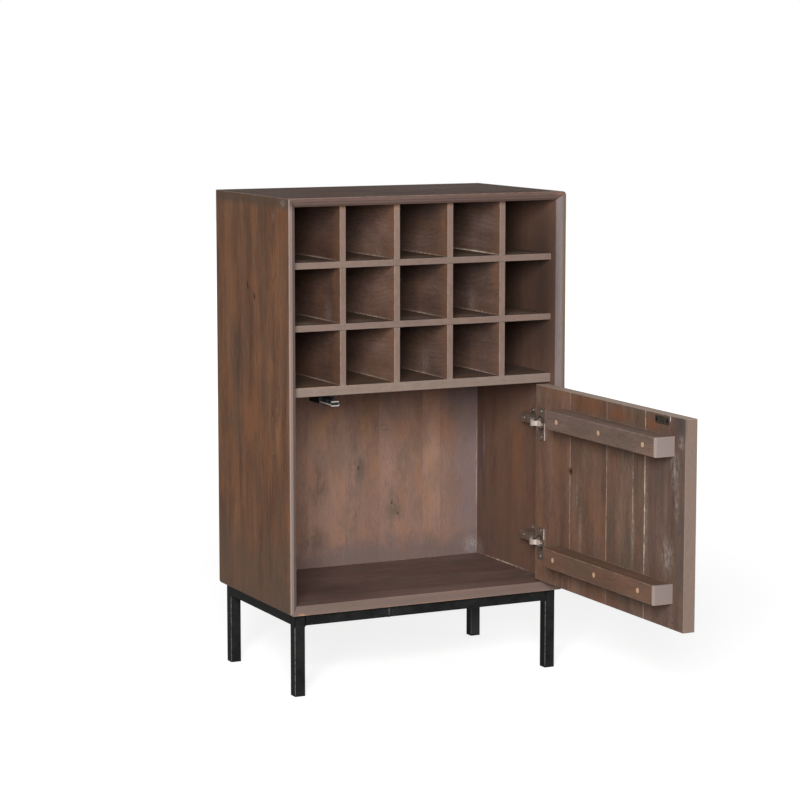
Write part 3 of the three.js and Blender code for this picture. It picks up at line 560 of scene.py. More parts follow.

# %% [markdown]
# ## The right side
#
# Only the inner face of the right side shows in the photograph. Its upper part lies in the rack's
# deep shade, which is painted on it as dark patches. Below, chalky patches run down beside the
# back and dust lies at the foot.

# %% Right side
on_right = on_face(X, 0.283, 0.012)
side_right = wood(
    "side_wood_right", "Z", ("452c1c", "60412e", "75523a"), 9.0, fine=0.4,
    worn=wear("right_side_panel", 0.0014, 0.55),
    bands=[
        (*FRONT, "797373", 0.85, 0.02, (X, 0.2998, 0.2992)),
        (X, 0.2838, 0.2831, "745c53", 0.6, 0.0),
    ],
    marks=[
        on_right(0.41, 0.19, 0.03, 0.03, "a39c98", 0.4, 0.003),
        # Painted shade: dark patches where the rack shades the upper part.
        on_right(0.27, 0.80, 0.25, 0.24, "2b1f1b", 0.6),
        on_right(0.27, 0.66, 0.25, 0.12, "2b1f1b", 0.45),
        on_right(0.405, 0.36, 0.03, 0.22, "4c4246", 0.6, 0.03),
        on_right(0.3945, 0.425, 0.007, 0.07, "94898a", 0.6, 0.004),
        on_right(0.352, 0.42, 0.022, 0.16, "4a362f", 0.5, 0.02),
        on_right(0.245, 0.42, 0.06, 0.15, "8c5c3c", 0.5, 0.03),
        on_right(0.324, 0.476, 0.03, 0.06, "84583f", 0.4, 0.02),
        on_right(0.3656, 0.21, 0.07, 0.07, "55474a", 0.5, 0.03),
        on_right(0.19, 0.33, 0.03, 0.15, "6e4335", 0.5, 0.02),
        # Painted shade: another dark patch on the part in the rack.
        on_right(0.14, 0.77, 0.08, 0.25, "352b29", 0.65),
        ((0.2995, FRONT_FACE, 0.56), (0.0095, 0.006, ALL_ALONG), "69533f", 0.9, 0.0),
        on_right(0.3, 0.1795, 0.14, 0.0022, "dccbb9", 0.95, 0.004),
    ],
)
dress(["right_side_panel"], side_right)

# %% [markdown]
# ## The top and the bottom
#
# The top is the darkest board, with a faint pale patch towards its back and a light bevel. The
# bottom has warm bare wood along its lower front edge, and dust lies on it along the back.

# %% Top and bottom
top_wood = wood(
    "top_board_wood", "X", ("36241c", "3f2a21", "4a3328"), 4.0,
    warm=("57372a", 0.35), fine=0.42, specular=0.02,
    worn=wear("top_panel", 0.0022, 0.5),
    bands=[(*FRONT, "69554f", 0.85, 0.02, (Z, 0.9628, 0.9622))],
    marks=[
        ((0.0, 0.0905, 0.9535), (ALL_ALONG, 0.007, 0.0045), "8c7973", 0.7, 0.0),
        ((0.285, FRONT_FACE, 0.958), (0.02, 0.012, 0.01), "a8785a", 0.3, 0.005),
        ((0.16, 0.33, 0.963), (0.3, 0.25, 0.003), "6f5f56", 0.4, 0.01),
    ],
)
dress(["top_panel"], top_wood)
on_bottom = on_face(Z, 0.178, 0.01)
bottom_wood = wood(
    "bottom_wood", "X", ("57423e", "6c5651", "7c6761"), 14.0,
    warm=("6a4d3f", 0.4), fine=0.42,
    worn=wear("bottom_panel", 0.0022, 0.5),
    bands=[(*FRONT, "75655d", 0.85, 0.02, (Z, 0.1612, 0.1618))],
    marks=[
        ((-0.2755, FRONT_FACE, 0.1625), (0.016, 0.02, 0.0035), "c98f63", 0.8, 0.003),
        ((0.0, FRONT_FACE, 0.1615), (0.3, 0.006, 0.0016), "b07a55", 0.6, 0.008),
        ((0.0, 0.0945, 0.178), (0.3, 0.0022, 0.0016), "b8a79b", 0.3, 0.006),
        on_bottom(0.05, 0.11, 0.35, 0.06, "846d65", 0.5),
        on_bottom(0.1, 0.4235, 0.22, 0.003, "d0bdac", 0.9, 0.004),
        on_bottom(0.2, 0.39, 0.1, 0.04, "8f817a", 0.45, 0.002),
        on_bottom(-0.17, 0.2, 0.13, 0.14, "352723", 0.45),
    ],
)
dress(["bottom_panel"], bottom_wood)

# %% [markdown]
# ## The bottle rack
#
# Two long shelves and four dividers are halved into each other over a thicker rack floor. Their
# front edges took the stain lightly and are paler than their faces, and dust lies along the
# shelves. A loop gives each board its own seed, so that no two boards are alike.

# %% Shelves and rack floor
RACK_FRONT = 0.1135
DUST_PLACES = (-0.24, -0.12, 0.01, 0.12, 0.235)
shelf_tones = ("453730", "54443c", "65544b")
edge_band = (Y, 0.1162, 0.1142, "806d65", 0.88, 0.0)
for number in (1, 2):
    name = f"rack_shelf_{number}"
    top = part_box(name)[1][Z]
    dust = [((x, 0.15, top), (0.045, 0.035, 0.003), "8b7f78", 0.7, 0.003) for x in DUST_PLACES]
    dust.append(((0.0, RACK_FRONT, top - 0.006), (0.5, 0.003, 0.012), "665649", 0.35, 0.02))
    dress([name], wood(name + "_wood", "X", shelf_tones, 20.0 + number, bands=[edge_band],
                       marks=dust, fine=0.5, worn=wear(name, 0.0012, 0.35), pale="a8988e"))
scuffs = [
    ((0.0, RACK_FRONT, 0.589), (0.5, 0.003, 0.014), "6b5c4d", 0.3, 0.03),
    ((-0.2, RACK_FRONT, 0.5985), (0.12, 0.003, 0.003), "b08a6a", 0.6, 0.004),
]
floor_band = (*edge_band[:3], "8a7a71", 0.88, 0.0)
dress(["rack_floor"], wood("rack_floor_wood", "X", shelf_tones, 40.0, bands=[floor_band],
                           marks=scuffs))

# %% [markdown]
# ## The dividers of the rack
#
# The grain of a divider runs from front to back. Its front edge has an orange cast where it
# meets the top, and where it stands on a shelf the joint is rubbed light. The places of those
# joints are measured from the shelves, so that the marks stay on them.

# %% Dividers
DIVIDER_TONES = {
    1: ("432f28", "594239", "6b5146"),
    2: ("5d453b", "775c51", "8b6e61"),
    3: ("4f3b32", "665047", "7b6358"),
    4: ("513c34", "68524a", "7b655c"),
}
warm_front = (Y, 0.16, 0.122, "7a5740", 0.45, 0.03)
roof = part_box("rack_divider_1")[1][Z]
seats = [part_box(name)[1][Z] for name in ("rack_floor", "rack_shelf_1", "rack_shelf_2")]
for number, tones in DIVIDER_TONES.items():
    name = f"rack_divider_{number}"
    low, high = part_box(name)
    middle = (low[X] + high[X]) / 2
    on_flank, on_front = on_face(X, low[X], 0.004), on_face(Y, low[Y], 0.004)
    marks = [((middle, 0.22, z), (0.02, 0.15, 0.0042), "d3c2b0", 1.0, 0.004) for z in seats]
    # Painted highlight: on divider 4 a white glint runs along its joint with the upper shelf.
    if number == 4:
        marks.append(on_flank(0.23, seats[2], 0.16, 0.0045, "f1e2c4", 1.0, 0.006))
    marks.append(on_front(middle, roof, 0.02, 0.015, "a87b55", 0.7, 0.008))
    marks += [on_front(middle, z - 0.006, 0.02, 0.022, "7b7166", 0.8, 0.012) for z in seats]
    marks.append(((middle, low[Y], 0.76), (0.02, 0.003, 0.3), "665548", 0.5, 0.012))
    chalk, stain = 0.62 + 0.11 * (number % 3), 0.9 - 0.1 * (number % 3)
    marks.append(on_flank(0.15 + 0.02 * number, chalk, 0.03, 0.05, "8d8079", 0.5, 0.003))
    marks.append(on_flank(0.135, stain, 0.02, 0.04, "8a5e42", 0.5, 0.008))
    dress([name], wood(name + "_wood", "Y", tones, 30.0 + 3 * number, marks=marks,
                       bands=[warm_front, edge_band], fine=0.42, warm=("70503a", 0.55),
                       cool=("4c403a", 0.4), worn=wear(name, 0.0012, 0.4), pale="a8988e"))

# %% [markdown]
# ## The back
#
# The back is glued up from vertical boards. Each joint changes the tone and leaps to another
# part of the trunk. Grey patches surround its knots, the lowest strip is a cool grey, and
# whitish dust has gathered in the right corner.

# %% Back finish
back_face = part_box("back_panel")[0][Y]
on_back = on_face(Y, back_face, 0.008)
STRIPS = [(-0.19, 0.0), (-0.11, 0.05), (-0.026, -0.13), (0.052, 0.05), (0.154, 0.16),
          (0.194, -0.16)]
back_marks = [
    (0.004, 0.395, 0.045, 0.1, "574e45", 0.85, 0.03),
    (-0.008, 0.29, 0.03, 0.08, "5c5348", 0.7, 0.02),
    (-0.065, 0.475, 0.05, 0.09, "a9805e", 0.7, 0.02),
    (0.022, 0.462, 0.025, 0.04, "9c7654", 0.5, 0.01),
    (0.173, 0.40, 0.019, 0.2, "a07c60", 0.45, 0.02),
    (0.107, 0.385, 0.03, 0.06, "5f5649", 0.65, 0.012),
    (0.085, 0.29, 0.04, 0.05, "5b5249", 0.7, 0.012),
    (-0.088, 0.35, 0.028, 0.06, "4f4037", 0.8, 0.02),
    (-0.1, 0.235, 0.05, 0.04, "52443f", 0.6, 0.02),
    (-0.038, 0.295, 0.03, 0.06, "8d6c5c", 0.4, 0.02),
    (0.0617, 0.4666, 0.012, 0.0022, "4a3a2f", 0.6, 0.004),
    (0.066, 0.4560, 0.016, 0.0022, "4a3a2f", 0.6, 0.004),
    (0.2697, 0.1968, 0.028, 0.028, "b9b2ae", 0.45, 0.002),
    (0.2711, 0.1876, 0.003, 0.002, "4a3c38", 0.8),
    (0.2815, 0.35, 0.0022, 0.2, "b8aaa4", 0.6, 0.02),
]
back_wood = wood(
    "back_board_wood", "Z", ("785f53", "8b6e61", "99796a"), 50.0,
    warm=("94694c", 0.5), cool=("645850", 0.45), pores=0.2, fine=0.56,
    joints=(X, STRIPS),
    bands=[(X, 0.19, 0.275, "766a6c", 0.75, 0.05), (Z, 0.245, 0.19, "6b5d5b", 0.85, 0.03)],
    knots=[
        ((0.0041, back_face, 0.3799), (0.005, 0.008, 0.008)),
        ((0.0811, back_face, 0.3014), (0.004, 0.008, 0.006)),
        ((0.0948, back_face, 0.2776), (0.004, 0.008, 0.005)),
    ],
    marks=[on_back(*row) for row in back_marks],
)
dress(["back_panel"], back_wood)

# %% [markdown]
# ## The door
#
# Four planks with chamfered joints are held by two battens, and wooden plugs cover the screws.
# The chamfers are rubbed almost bare, so each joint shows a light line. Water has left chalky
# streaks on the middle planks and smears near the free edge.

# %% Marks on the planks
door_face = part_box("door_plank_2")[0][X]
on_door = on_face(X, door_face, 0.006)
door_marks = {
    1: [(-0.0276, 0.4215, 0.011, 0.012, "120b08", 1.0),
        (0.0303, 0.4156, 0.03, 0.06, "80543a", 0.45, 0.02),
        (0.104, 0.556, 0.012, 0.025, "8d7d74", 0.6, 0.004)],
    2: [(-0.0276, 0.4215, 0.011, 0.012, "120b08", 1.0),
        (-0.09, 0.562, 0.1, 0.022, "754a30", 0.55),
        (-0.0665, 0.3052, 0.011, 0.08, "9c8d82", 0.55, 0.003),
        (-0.0533, 0.3843, 0.006, 0.07, "9c8d82", 0.5, 0.003),
        (-0.1457, 0.19, 0.03, 0.02, "7b4e33", 0.5, 0.008)],
    3: [(-0.21, 0.557, 0.07, 0.022, "784c31", 0.6),
        (-0.238, 0.48, 0.018, 0.1, "4c453b", 0.5, 0.02),
        (-0.2641, 0.3447, 0.01, 0.1, "a6988c", 0.6, 0.003),
        (-0.2625, 0.42, 0.0014, 0.16, "cdbbab", 0.85, 0.006),
        (-0.22, 0.19, 0.04, 0.02, "7b4e33", 0.5, 0.008)],
    4: [(-0.3104, 0.36, 0.01, 0.12, "8f857c", 0.5, 0.005),
        (-0.322, 0.552, 0.05, 0.024, "7c4e32", 0.55),
        (-0.43, 0.565, 0.034, 0.05, "3f3d3d", 0.7),
        # Painted highlight: a white glint beside the strike plate.
        (-0.3915, 0.5715, 0.0018, 0.008, "efece8", 0.9),
        (-0.43, 0.5317, 0.016, 0.02, "9d948e", 0.55, 0.004),
        (-0.4104, 0.4787, 0.022, 0.06, "9b928c", 0.6, 0.007),
        (-0.3878, 0.3149, 0.03, 0.05, "9b928c", 0.6, 0.006),
        (-0.4179, 0.4161, 0.012, 0.05, "9b928c", 0.5, 0.006),
        (-0.4065, 0.1938, 0.003, 0.0035, "1f1511", 0.85)],
}
print(sum(len(marks) for marks in door_marks.values()), "marks on the door")

# %% Planks
PLANKS = {
    1: (("573f35", "715649", "866858"), ("805b42", 0.5), ("574b42", 0.4)),
    2: (("523c33", "6c5347", "83695a"), ("7e5a42", 0.45), ("51463d", 0.5)),
    3: (("4f3d35", "675046", "7d6557"), ("785743", 0.35), ("534c41", 0.65)),
    4: (("4a3a33", "614d44", "776156"), ("6f5547", 0.35), ("544c46", 0.65)),
}
DOOR_MIDDLE = 0.38
top_edge = (Z, 0.5762, 0.5767, "a89688", 0.85, 0.0)
free_end = (Y, -0.4425, -0.4438, "7f6d63", 0.95, 0.0)
joint_marks = [
    (-0.0253, DOOR_MIDDLE, 0.0018, 0.3, "c3ad9c", 0.75, 0.006),
    (-0.165, DOOR_MIDDLE, 0.0018, 0.3, "c3ad9c", 0.75, 0.006),
    (-0.3048, DOOR_MIDDLE, 0.0024, 0.32, "dccbb6", 1.0, 0.012),
]
for number, (tones, warm, cool) in PLANKS.items():
    name = f"door_plank_{number}"
    bands = [free_end, top_edge] if number == 4 else [top_edge]
    marks = [on_door(*row) for row in joint_marks + door_marks[number]]
    dress([name], wood(name + "_wood", "Z", tones, 60.0 + 5 * number, warm=warm, cool=cool,
                       bands=bands, marks=marks, fine=0.32))

# %% [markdown]
# ## Battens and plugs
#
# The end of each batten is sawn across and kept pale, with slanting saw lines. Its upper edge is
# rubbed along the planks. The plugs are of a lighter wood without stain.

# %% Battens and plugs
BATTENS = {
    "upper_batten": (("5e4e47", "6f5d55", "806c63"), 71.0),
    "lower_batten": (("574035", "694f42", "795d4e"), 75.0),
}
for name, (tones, seed) in BATTENS.items():
    low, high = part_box(name)
    end_band = (Y, low[Y] + 0.0055, low[Y] + 0.004, "827571", 0.95, 0.0)
    edge = (high[X], (low[Y] + high[Y]) / 2, high[Z])
    rubbed = (edge, (0.004, 0.3, 0.003), "b9a698", 0.8, 0.006)
    dress([name], wood(name + "_wood", "Y", tones, seed, bands=[end_band], sawn_band=end_band[:3],
                       worn=wear(name, 0.0022, 0.5), warm=("7a5a48", 0.3), marks=[rubbed]))
plug_wood = wood("batten_plug_wood", "Z", ("a78266", "bb9578", "d2b094"), 80.0,
                 warm=("c09060", 0.3), cool=("b0a090", 0.3))
dress([f"{side}_batten_plug_{n}" for side in ("upper", "lower") for n in (1, 2, 3)], plug_wood)

# %% [markdown]
# ## Steel, plastic and plating
#
# All the metal and plastic shares one recipe: soft clouds in colour and gloss, and scratches
# finer than a pixel. Each coat only changes the tones, the gloss and the size of the clouds.

# %% Metal recipe
METAL_DEPTH = 0.00004
METAL_SEED = 3.0
HAIR_TURN = (0.5, 0.35, 0.2)
HAIR_SIZE = (0.0006, 0.03, 0.004)


def metal(name, tones, metallic, rough, grain=0.004, scratch=0.15, marks=(), worn=None,
          pale="8a8680", specular=0.5):
    """A coated or plated metal: soft clouds in colour and gloss, fine scratches, worn edges."""
    material, place, shader = start(name, metallic, specular)
    lump = cloud(place, (grain * 6,) * 3, 4.0, 0.6, 2.0)
    fine = cloud(place, (grain,) * 3, 3.0, 0.6, 5.0)
    base = ramp(lump, (0.35, tones[0]), (0.65, tones[1]))
    hair = cloud(moved(place, turn=HAIR_TURN), HAIR_SIZE, 2.0, 0.5, 9.0)
    base = tinted(base, pale, span(hair, 0.66, 0.74, 0.0, scratch))
    base = with_marks(place, base, marks, METAL_SEED)
    if worn:
        uneven = span(fine, 0.25, 0.75, 0.6, 1.3)
        base = tinted(base, pale, worn_edge(place, worn, uneven, 0.3, METAL_SEED))
    sheen = maths("MULTIPLY_ADD", fine, 0.14, rough - 0.15)
    sheen = maths("MULTIPLY_ADD", lump, 0.16, sheen)
    finish(shader, base, sheen, fine, METAL_DEPTH)
    return material


print(f"dents in the metals are {1000 * METAL_DEPTH:.2f} mm deep")

# %% [markdown]
# ## The steel base
#
# The base is square tube under a satin black coat. Its left faces are darkened, a painted shade,
# and the front face of the back right leg is lightened, a painted light. The coat is rubbed thin
# along the legs and along the rails' lower edges. The box of each tube is widened along its run,
# so that no wear shows round its ends.

# %% Steel base
RUN = 0.05
LOW_DOWN = (Z, 0.1385, 0.136)
CORNERS = ("front_left", "front_right", "back_left", "back_right")
RUNS = {f"leg_{corner}": (0.0, 0.0, RUN) for corner in CORNERS}
RUNS |= {"rail_front": (RUN, 0.0, 0.0), "rail_back": (RUN, 0.0, 0.0),
         "rail_left": (0.0, RUN, 0.0), "rail_right": (0.0, RUN, 0.0)}
seam = ((-0.085, 0.0945, 0.15), (0.0022, 0.006, 0.011), "8b8a87", 0.7, 0.002)
for name, run in RUNS.items():
    low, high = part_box(name)
    middle = (low + high) / 2
    # Painted shade: the left face of each tube is darkened.
    marks = [((low[X], middle[Y], middle[Z]), (0.003, 2.0, 2.0), "0a0907", 0.9, 0.0)]
    # Painted light: the front face of the back right leg is lightened.
    if name == "leg_back_right":
        marks.append(((middle[X], low[Y], 0.05), (2.0, 0.003, 2.0), "464646", 0.9, 0.0))
    if name == "rail_front":
        marks.append(seam)
    worn = (*wear(name, 0.0016, 0.5, run), LOW_DOWN)
    dress([name], metal(name + "_coat", ("171717", "232323"), 0.0, 0.55, marks=marks,
                        specular=0.035, pale="8c8c8a", worn=worn))
foot_plastic = metal("foot_plastic", ("151516", "1f1f20"), 0.0, 0.6, scratch=0.05, specular=0.1)
dress([f"foot_{corner}" for corner in CORNERS], foot_plastic)

# %% [markdown]
# ## Hinges and catch
#
# The hinges are nickel plated: their links shine less than the cups and arms, and the screws are
# duller still. The catch is black plastic with a bright steel head, and its strike plate is
# browned steel. One metal for all would be quicker, but each catches the light in its own way.


# %% Hinges and catch
def on_hinges(parts):
    """The names of the same parts on both hinges."""
    return [f"{level}_hinge_{part}" for level in ("upper", "lower") for part in parts]


nickel = metal("nickel_plating", ("978a80", "ada095"), 0.9, 0.45, 0.002, 0.3, pale="e6e1dc")
satin_nickel = metal("satin_nickel", ("9f9188", "b6a99f"), 0.3, 0.6, 0.002, 0.2, pale="e6e1dc")
dull_nickel = metal("dull_nickel", ("6f6761", "857c75"), 0.8, 0.5, 0.001, 0.2, pale="c9c3bd")
dress(on_hinges(("cup", "plate", "arm")), nickel)
dress(on_hinges(("link",)), satin_nickel)
dress(on_hinges([f"{part}_screw_{n}" for part in ("cup", "plate") for n in (1, 2)]), dull_nickel)

catch_low, catch_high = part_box("catch_housing")
catch_x = (catch_low.x + catch_high.x) / 2
dust = ((catch_x, 0.165, catch_low.z + 0.011), (0.02, 0.04, 0.0035), "5a6361", 0.7, 0.004)
black_plastic = metal("catch_plastic", ("17171a", "232326"), 0.0, 0.5, marks=[dust],
                      scratch=0.05, specular=0.2)
bright_steel = metal("bright_steel", ("a8a29b", "bdb8b2"), 1.0, 0.32, 0.002, 0.2, pale="f0eeeb")
dark_steel = metal("browned_steel", ("544c43", "6b6156"), 0.9, 0.42, 0.002, 0.3, pale="b5aea6")
dress(["catch_housing", "catch_plunger"], black_plastic)
dress(["catch_pole_piece"], bright_steel)
dress(["strike_plate"], dark_steel)

# %% [markdown]
# ## Small hardware
#
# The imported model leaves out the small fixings. Each one below is shaped by mesh operators from
# a circle, a grid, a rod or a short line, and then moved to its seat. The object itself stays at
# the origin, so that the finishes' object coordinates agree with the boards around it.

# %% Piece helpers
WELD = 1e-6


def shaped(name, bm, material):
    """An object made of a finished bmesh in one material."""
    mesh = bpy.data.meshes.new(name)
    bm.to_mesh(mesh)
    bm.free()
    mesh.materials.append(material)
    return placed(name, mesh)


def settle(name, bm, body, material, facing=Matrix(), at=(0.0, 0.0, 0.0)):
    """Turns and moves a finished bmesh to its seat, and makes it a piece that rides on a body."""
    bmesh.ops.remove_doubles(bm, verts=bm.verts, dist=WELD)
    bmesh.ops.transform(bm, matrix=Matrix.Translation(at) @ facing, verts=bm.verts)
    bmesh.ops.recalc_face_normals(bm, faces=bm.faces)
    made = shaped(name, bm, material)
    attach(made, body)


print("points closer than", WELD, "m become one")


# %% Rings and seats
def only_verts(parts):
    """The vertices among the parts that an operator made."""
    return [part for part in parts if isinstance(part, bmesh.types.BMVert)]


def between(bm, verts):
    """The edges with both ends among verts."""
    return [edge for edge in bm.edges if edge.verts[0] in verts and edge.verts[1] in verts]


def step_out(bm, edges, radius, drop):
    """Extrudes an open ring of edges, and sets the new ring to that radius, lower by drop."""
    ring = only_verts(bmesh.ops.extrude_edge_only(bm, edges=edges)["geom"])
    share = radius / max(vert.co.xy.length for vert in ring)
    bmesh.ops.scale(bm, vec=(share, share, 1.0), verts=ring)
    bmesh.ops.translate(bm, vec=(0.0, 0.0, -drop), verts=ring)
    return [edge for edge in between(bm, ring) if edge.is_boundary]


FACING_LEFT = Matrix.Rotation(-math.pi / 2, 4, "Y")
FACING_BACK = Matrix.Rotation(-math.pi / 2, 4, "X")
SEAT_SINK = 0.0001
screw_steel = metal("screw_steel", ("262728", "353637"), 0.9, 0.35, 0.001, 0.3, pale="aaa49c")
print(f"a head sinks {1000 * SEAT_SINK} mm into its seat, and so leaves no gap")

# %% [markdown]
# ## Cross-head screws
#
# A screw head is a low dome with a cross pressed into it. The cross starts as a grid of nine
# squares without its corners, which is pushed in and narrowed towards its floor. A ring is then
# bridged round it and stepped out and down to the rim. Cutting a cross out with a boolean
# would work too, but it leaves long thin faces.

# %% Screw heads
SCREW_SIDES = 24
CROSS_ARM = 0.3
CROSS_REACH = 0.62
CROSS_DEPTH = 0.55
CROSS_TAPER = 0.7
CROWN_RADIUS, CROWN_DROP = 0.74, 0.06
DOME_STEPS = ((0.93, 0.2), (1.0, 0.29), (1.0, 0.45))


def screw_head(radius, height):
    """A domed head with a cross recess, underside on z = 0. The shares above are of its size."""
    bm = bmesh.new()
    bmesh.ops.create_grid(bm, x_segments=3, y_segments=3, size=radius)
    for vert in bm.verts:
        for axis in (X, Y):
            outer = abs(vert.co[axis]) > radius * 0.5
            share = CROSS_REACH if outer else CROSS_ARM / 2
            vert.co[axis] = math.copysign(radius * share, vert.co[axis])
    middles = {face: face.calc_center_median() for face in bm.faces}
    half_arm = radius * CROSS_ARM / 2
    corners = [face for face, at in middles.items() if min(abs(at.x), abs(at.y)) > half_arm]
    bmesh.ops.delete(bm, geom=corners, context="FACES")
    outline = [edge for edge in bm.edges if edge.is_boundary]
    cross = bm.faces[:]
    floor = only_verts(bmesh.ops.extrude_face_region(bm, geom=cross)["geom"])
    bmesh.ops.delete(bm, geom=cross, context="FACES")
    bmesh.ops.translate(bm, vec=(0.0, 0.0, -height * CROSS_DEPTH), verts=floor)
    bmesh.ops.scale(bm, vec=(CROSS_TAPER, CROSS_TAPER, 1.0), verts=floor)
    crown_radius = radius * CROWN_RADIUS
    crown = bmesh.ops.create_circle(bm, segments=SCREW_SIDES, radius=crown_radius)["verts"]
    bmesh.ops.translate(bm, vec=(0.0, 0.0, -height * CROWN_DROP), verts=crown)
    rim = between(bm, crown)
    bmesh.ops.bridge_loops(bm, edges=outline + rim)
    for share, drop in DOME_STEPS:
        rim = step_out(bm, rim, radius * share, height * drop)
    bmesh.ops.edgeloop_fill(bm, edges=rim)
    bmesh.ops.translate(bm, vec=(0.0, 0.0, height), verts=bm.verts)
    return bm


print("a screw head has", SCREW_SIDES, "sides")

# %% [markdown]
# ## Screws of the strike plate
#
# The catch's magnet meets the plate beside one of its two screws when the door is shut. So the
# heads are sunk until they stand only a little proud of the steel.

# %% Strike screws
STRIKE_HOLE_HALF = 0.0185
STRIKE_SCREW = (0.0041, 0.00035)
STRIKE_SINK = 0.00015
strike_low, strike_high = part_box("strike_plate")
strike_middle = (strike_low + strike_high) / 2
for number, side in ((1, -1), (2, 1)):
    y = strike_middle.y + side * STRIKE_HOLE_HALF
    settle(f"strike_screw_{number}", screw_head(*STRIKE_SCREW), "door", screw_steel,
           FACING_LEFT, (strike_low.x + STRIKE_SINK, y, strike_middle.z))
print(f"strike screws stand {1000 * (STRIKE_SCREW[1] - STRIKE_SINK):.1f} mm proud")

# %% [markdown]
# ## Adjusting screws of the hinge arms
#
# A concealed hinge has two screws on its arm: the front one moves the door sideways, and the
# rear one clamps the arm to its plate. They sit on the flat of the arm, in line with it.

# %% Arm screws
ARM_TOP = 0.0175
ARM_SCREWS = {"side": (0.1605, 0.0031, 0.0012), "depth": (0.1885, 0.0036, 0.0018)}
arm_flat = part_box("right_side_panel")[0].x - ARM_TOP
for level in ("upper", "lower"):
    arm_low, arm_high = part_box(f"{level}_hinge_arm")
    for use, (y, radius, height) in ARM_SCREWS.items():
        seat = (arm_flat + SEAT_SINK, y, (arm_low.z + arm_high.z) / 2)
        settle(f"{level}_hinge_{use}_screw", screw_head(radius, height), "cabinet", dull_nickel,
               FACING_LEFT, seat)
print(f"the arms' flat lies at x {arm_flat:.4f}")

# %% [markdown]
# ## Rolled rims of the hinge cups
#
# The flange of a cup ends in a rolled rim, which shows bright from the batten to the flange's
# free end. It is a thin rod whose ends are rounded with a bevel. A curve with a bevel depth
# would do, but needs converting.

# %% Hinge rims
RIM_RADIUS = 0.001
RIM_HEIGHT = 0.003
RIM_INSET = 0.7
BATTEN_GAP = 0.001
ROD_SIDES = 16
ROD_ROUNDING = 0.6


def rim_rod(radius, length):
    """A rod along Z with rounded ends, centred on the origin."""
    bm = bmesh.new()
    bmesh.ops.create_cone(bm, cap_ends=True, segments=ROD_SIDES, radius1=radius, radius2=radius,
                          depth=length)
    ends = [edge for edge in bm.edges if edge.verts[0].co.z * edge.verts[1].co.z > 0]
    bmesh.ops.bevel(bm, geom=ends, offset=radius * ROD_ROUNDING, segments=3, profile=0.5,
                    affect="EDGES", material=-1)
    return bm


for level in ("upper", "lower"):
    cup_low, cup_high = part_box(f"{level}_hinge_cup")
    batten_low, batten_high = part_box(f"{level}_batten")
    below = batten_low.z > (cup_low.z + cup_high.z) / 2
    low_z = cup_low.z + RIM_RADIUS if below else batten_high.z + BATTEN_GAP
    high_z = batten_low.z - BATTEN_GAP if below else cup_high.z - RIM_RADIUS
    at = (door_face - RIM_HEIGHT, cup_low.y + RIM_RADIUS * RIM_INSET, (low_z + high_z) / 2)
    settle(f"{level}_hinge_rim", rim_rod(RIM_RADIUS, high_z - low_z), "door", satin_nickel,
           at=at)
    print(f"{level} rim is {1000 * (high_z - low_z):.1f} mm long")

# %% [markdown]
# ## Fixings of the back
#
# The back lies in rabbets of the four outer boards and is screwed to them. Its outer face doesn't
# show in the photograph, so the number of its screws follows common practice.

# %% Back screws
BACK_INSET = 0.004
END_INSET = 0.03
SIDE_SCREWS = 6
ACROSS = (-0.14, 0.0, 0.14)
BACK_SCREW = (0.003, 0.0012)
back_low, back_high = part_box("back_panel")
pitch = (back_high.z - back_low.z - 2 * END_INSET) / (SIDE_SCREWS - 1)
rows = [back_low.z + END_INSET + row * pitch for row in range(SIDE_SCREWS)]
seats = [(x, z) for x in (back_low.x + BACK_INSET, back_high.x - BACK_INSET) for z in rows]
seats += [(x, z) for x in ACROSS for z in (back_low.z + BACK_INSET, back_high.z - BACK_INSET)]
for number, (x, z) in enumerate(seats, 1):
    settle(f"back_screw_{number}", screw_head(*BACK_SCREW), "cabinet", screw_steel,
           FACING_BACK, (x, back_high.y - SEAT_SINK, z))
print(len(seats), "back screws")

# %% [markdown]
# ## Front of the push catch
#
# The housing ends in a grey collar, and two bent spring leaves reach from the collar towards the
# magnet. A leaf is a line of a few points, extruded sideways into a ribbon and given a thickness.


# %% Ribbon and sleeve
def ribbon(points, width, thickness):
    """A bent strip through points in the YZ plane, width wide along X."""
    bm = bmesh.new()
    verts = [bm.verts.new((-width / 2, y, z)) for y, z in points]
    edges = [bm.edges.new(pair) for pair in zip(verts, verts[1:])]
    far_side = only_verts(bmesh.ops.extrude_edge_only(bm, edges=edges)["geom"])
    bmesh.ops.translate(bm, vec=(width, 0, 0), verts=far_side)
    bmesh.ops.solidify(bm, geom=bm.faces[:], thickness=thickness)
    return bm


def sleeve(width, height, length, wall, radius):
    """A rounded rectangular band round the Y axis, open at both ends."""
    bm = bmesh.new()
    bmesh.ops.create_grid(bm, x_segments=1, y_segments=1, size=0.5)
    bmesh.ops.scale(bm, vec=(width, height, 1.0), verts=bm.verts)
    bmesh.ops.bevel(bm, geom=bm.verts[:], offset=radius, segments=4, profile=0.5,
                    affect="VERTICES", material=-1)
    bmesh.ops.delete(bm, geom=bm.faces[:], context="FACES_ONLY")
    far_end = only_verts(bmesh.ops.extrude_edge_only(bm, edges=bm.edges[:])["geom"])
    bmesh.ops.translate(bm, vec=(0, 0, length), verts=far_end)
    bmesh.ops.recalc_face_normals(bm, faces=bm.faces)
    bmesh.ops.solidify(bm, geom=bm.faces[:], thickness=-wall)
    return bm


print("a leaf starts as a line, a collar as a rounded square")

# %% Collar and leaves
COLLAR = {"width": 0.0155, "height": 0.0145, "length": 0.004, "wall": 0.0006, "radius": 0.003}
COLLAR_Y = 0.1735
COLLAR_RISE = 0.007
grey_plastic = metal("grey_plastic", ("5d5b59", "73706d"), 0.0, 0.5, scratch=0.05, specular=0.2)
settle("catch_collar", sleeve(**COLLAR), "cabinet", grey_plastic,
       FACING_BACK, (catch_x, COLLAR_Y, catch_low.z + COLLAR_RISE))

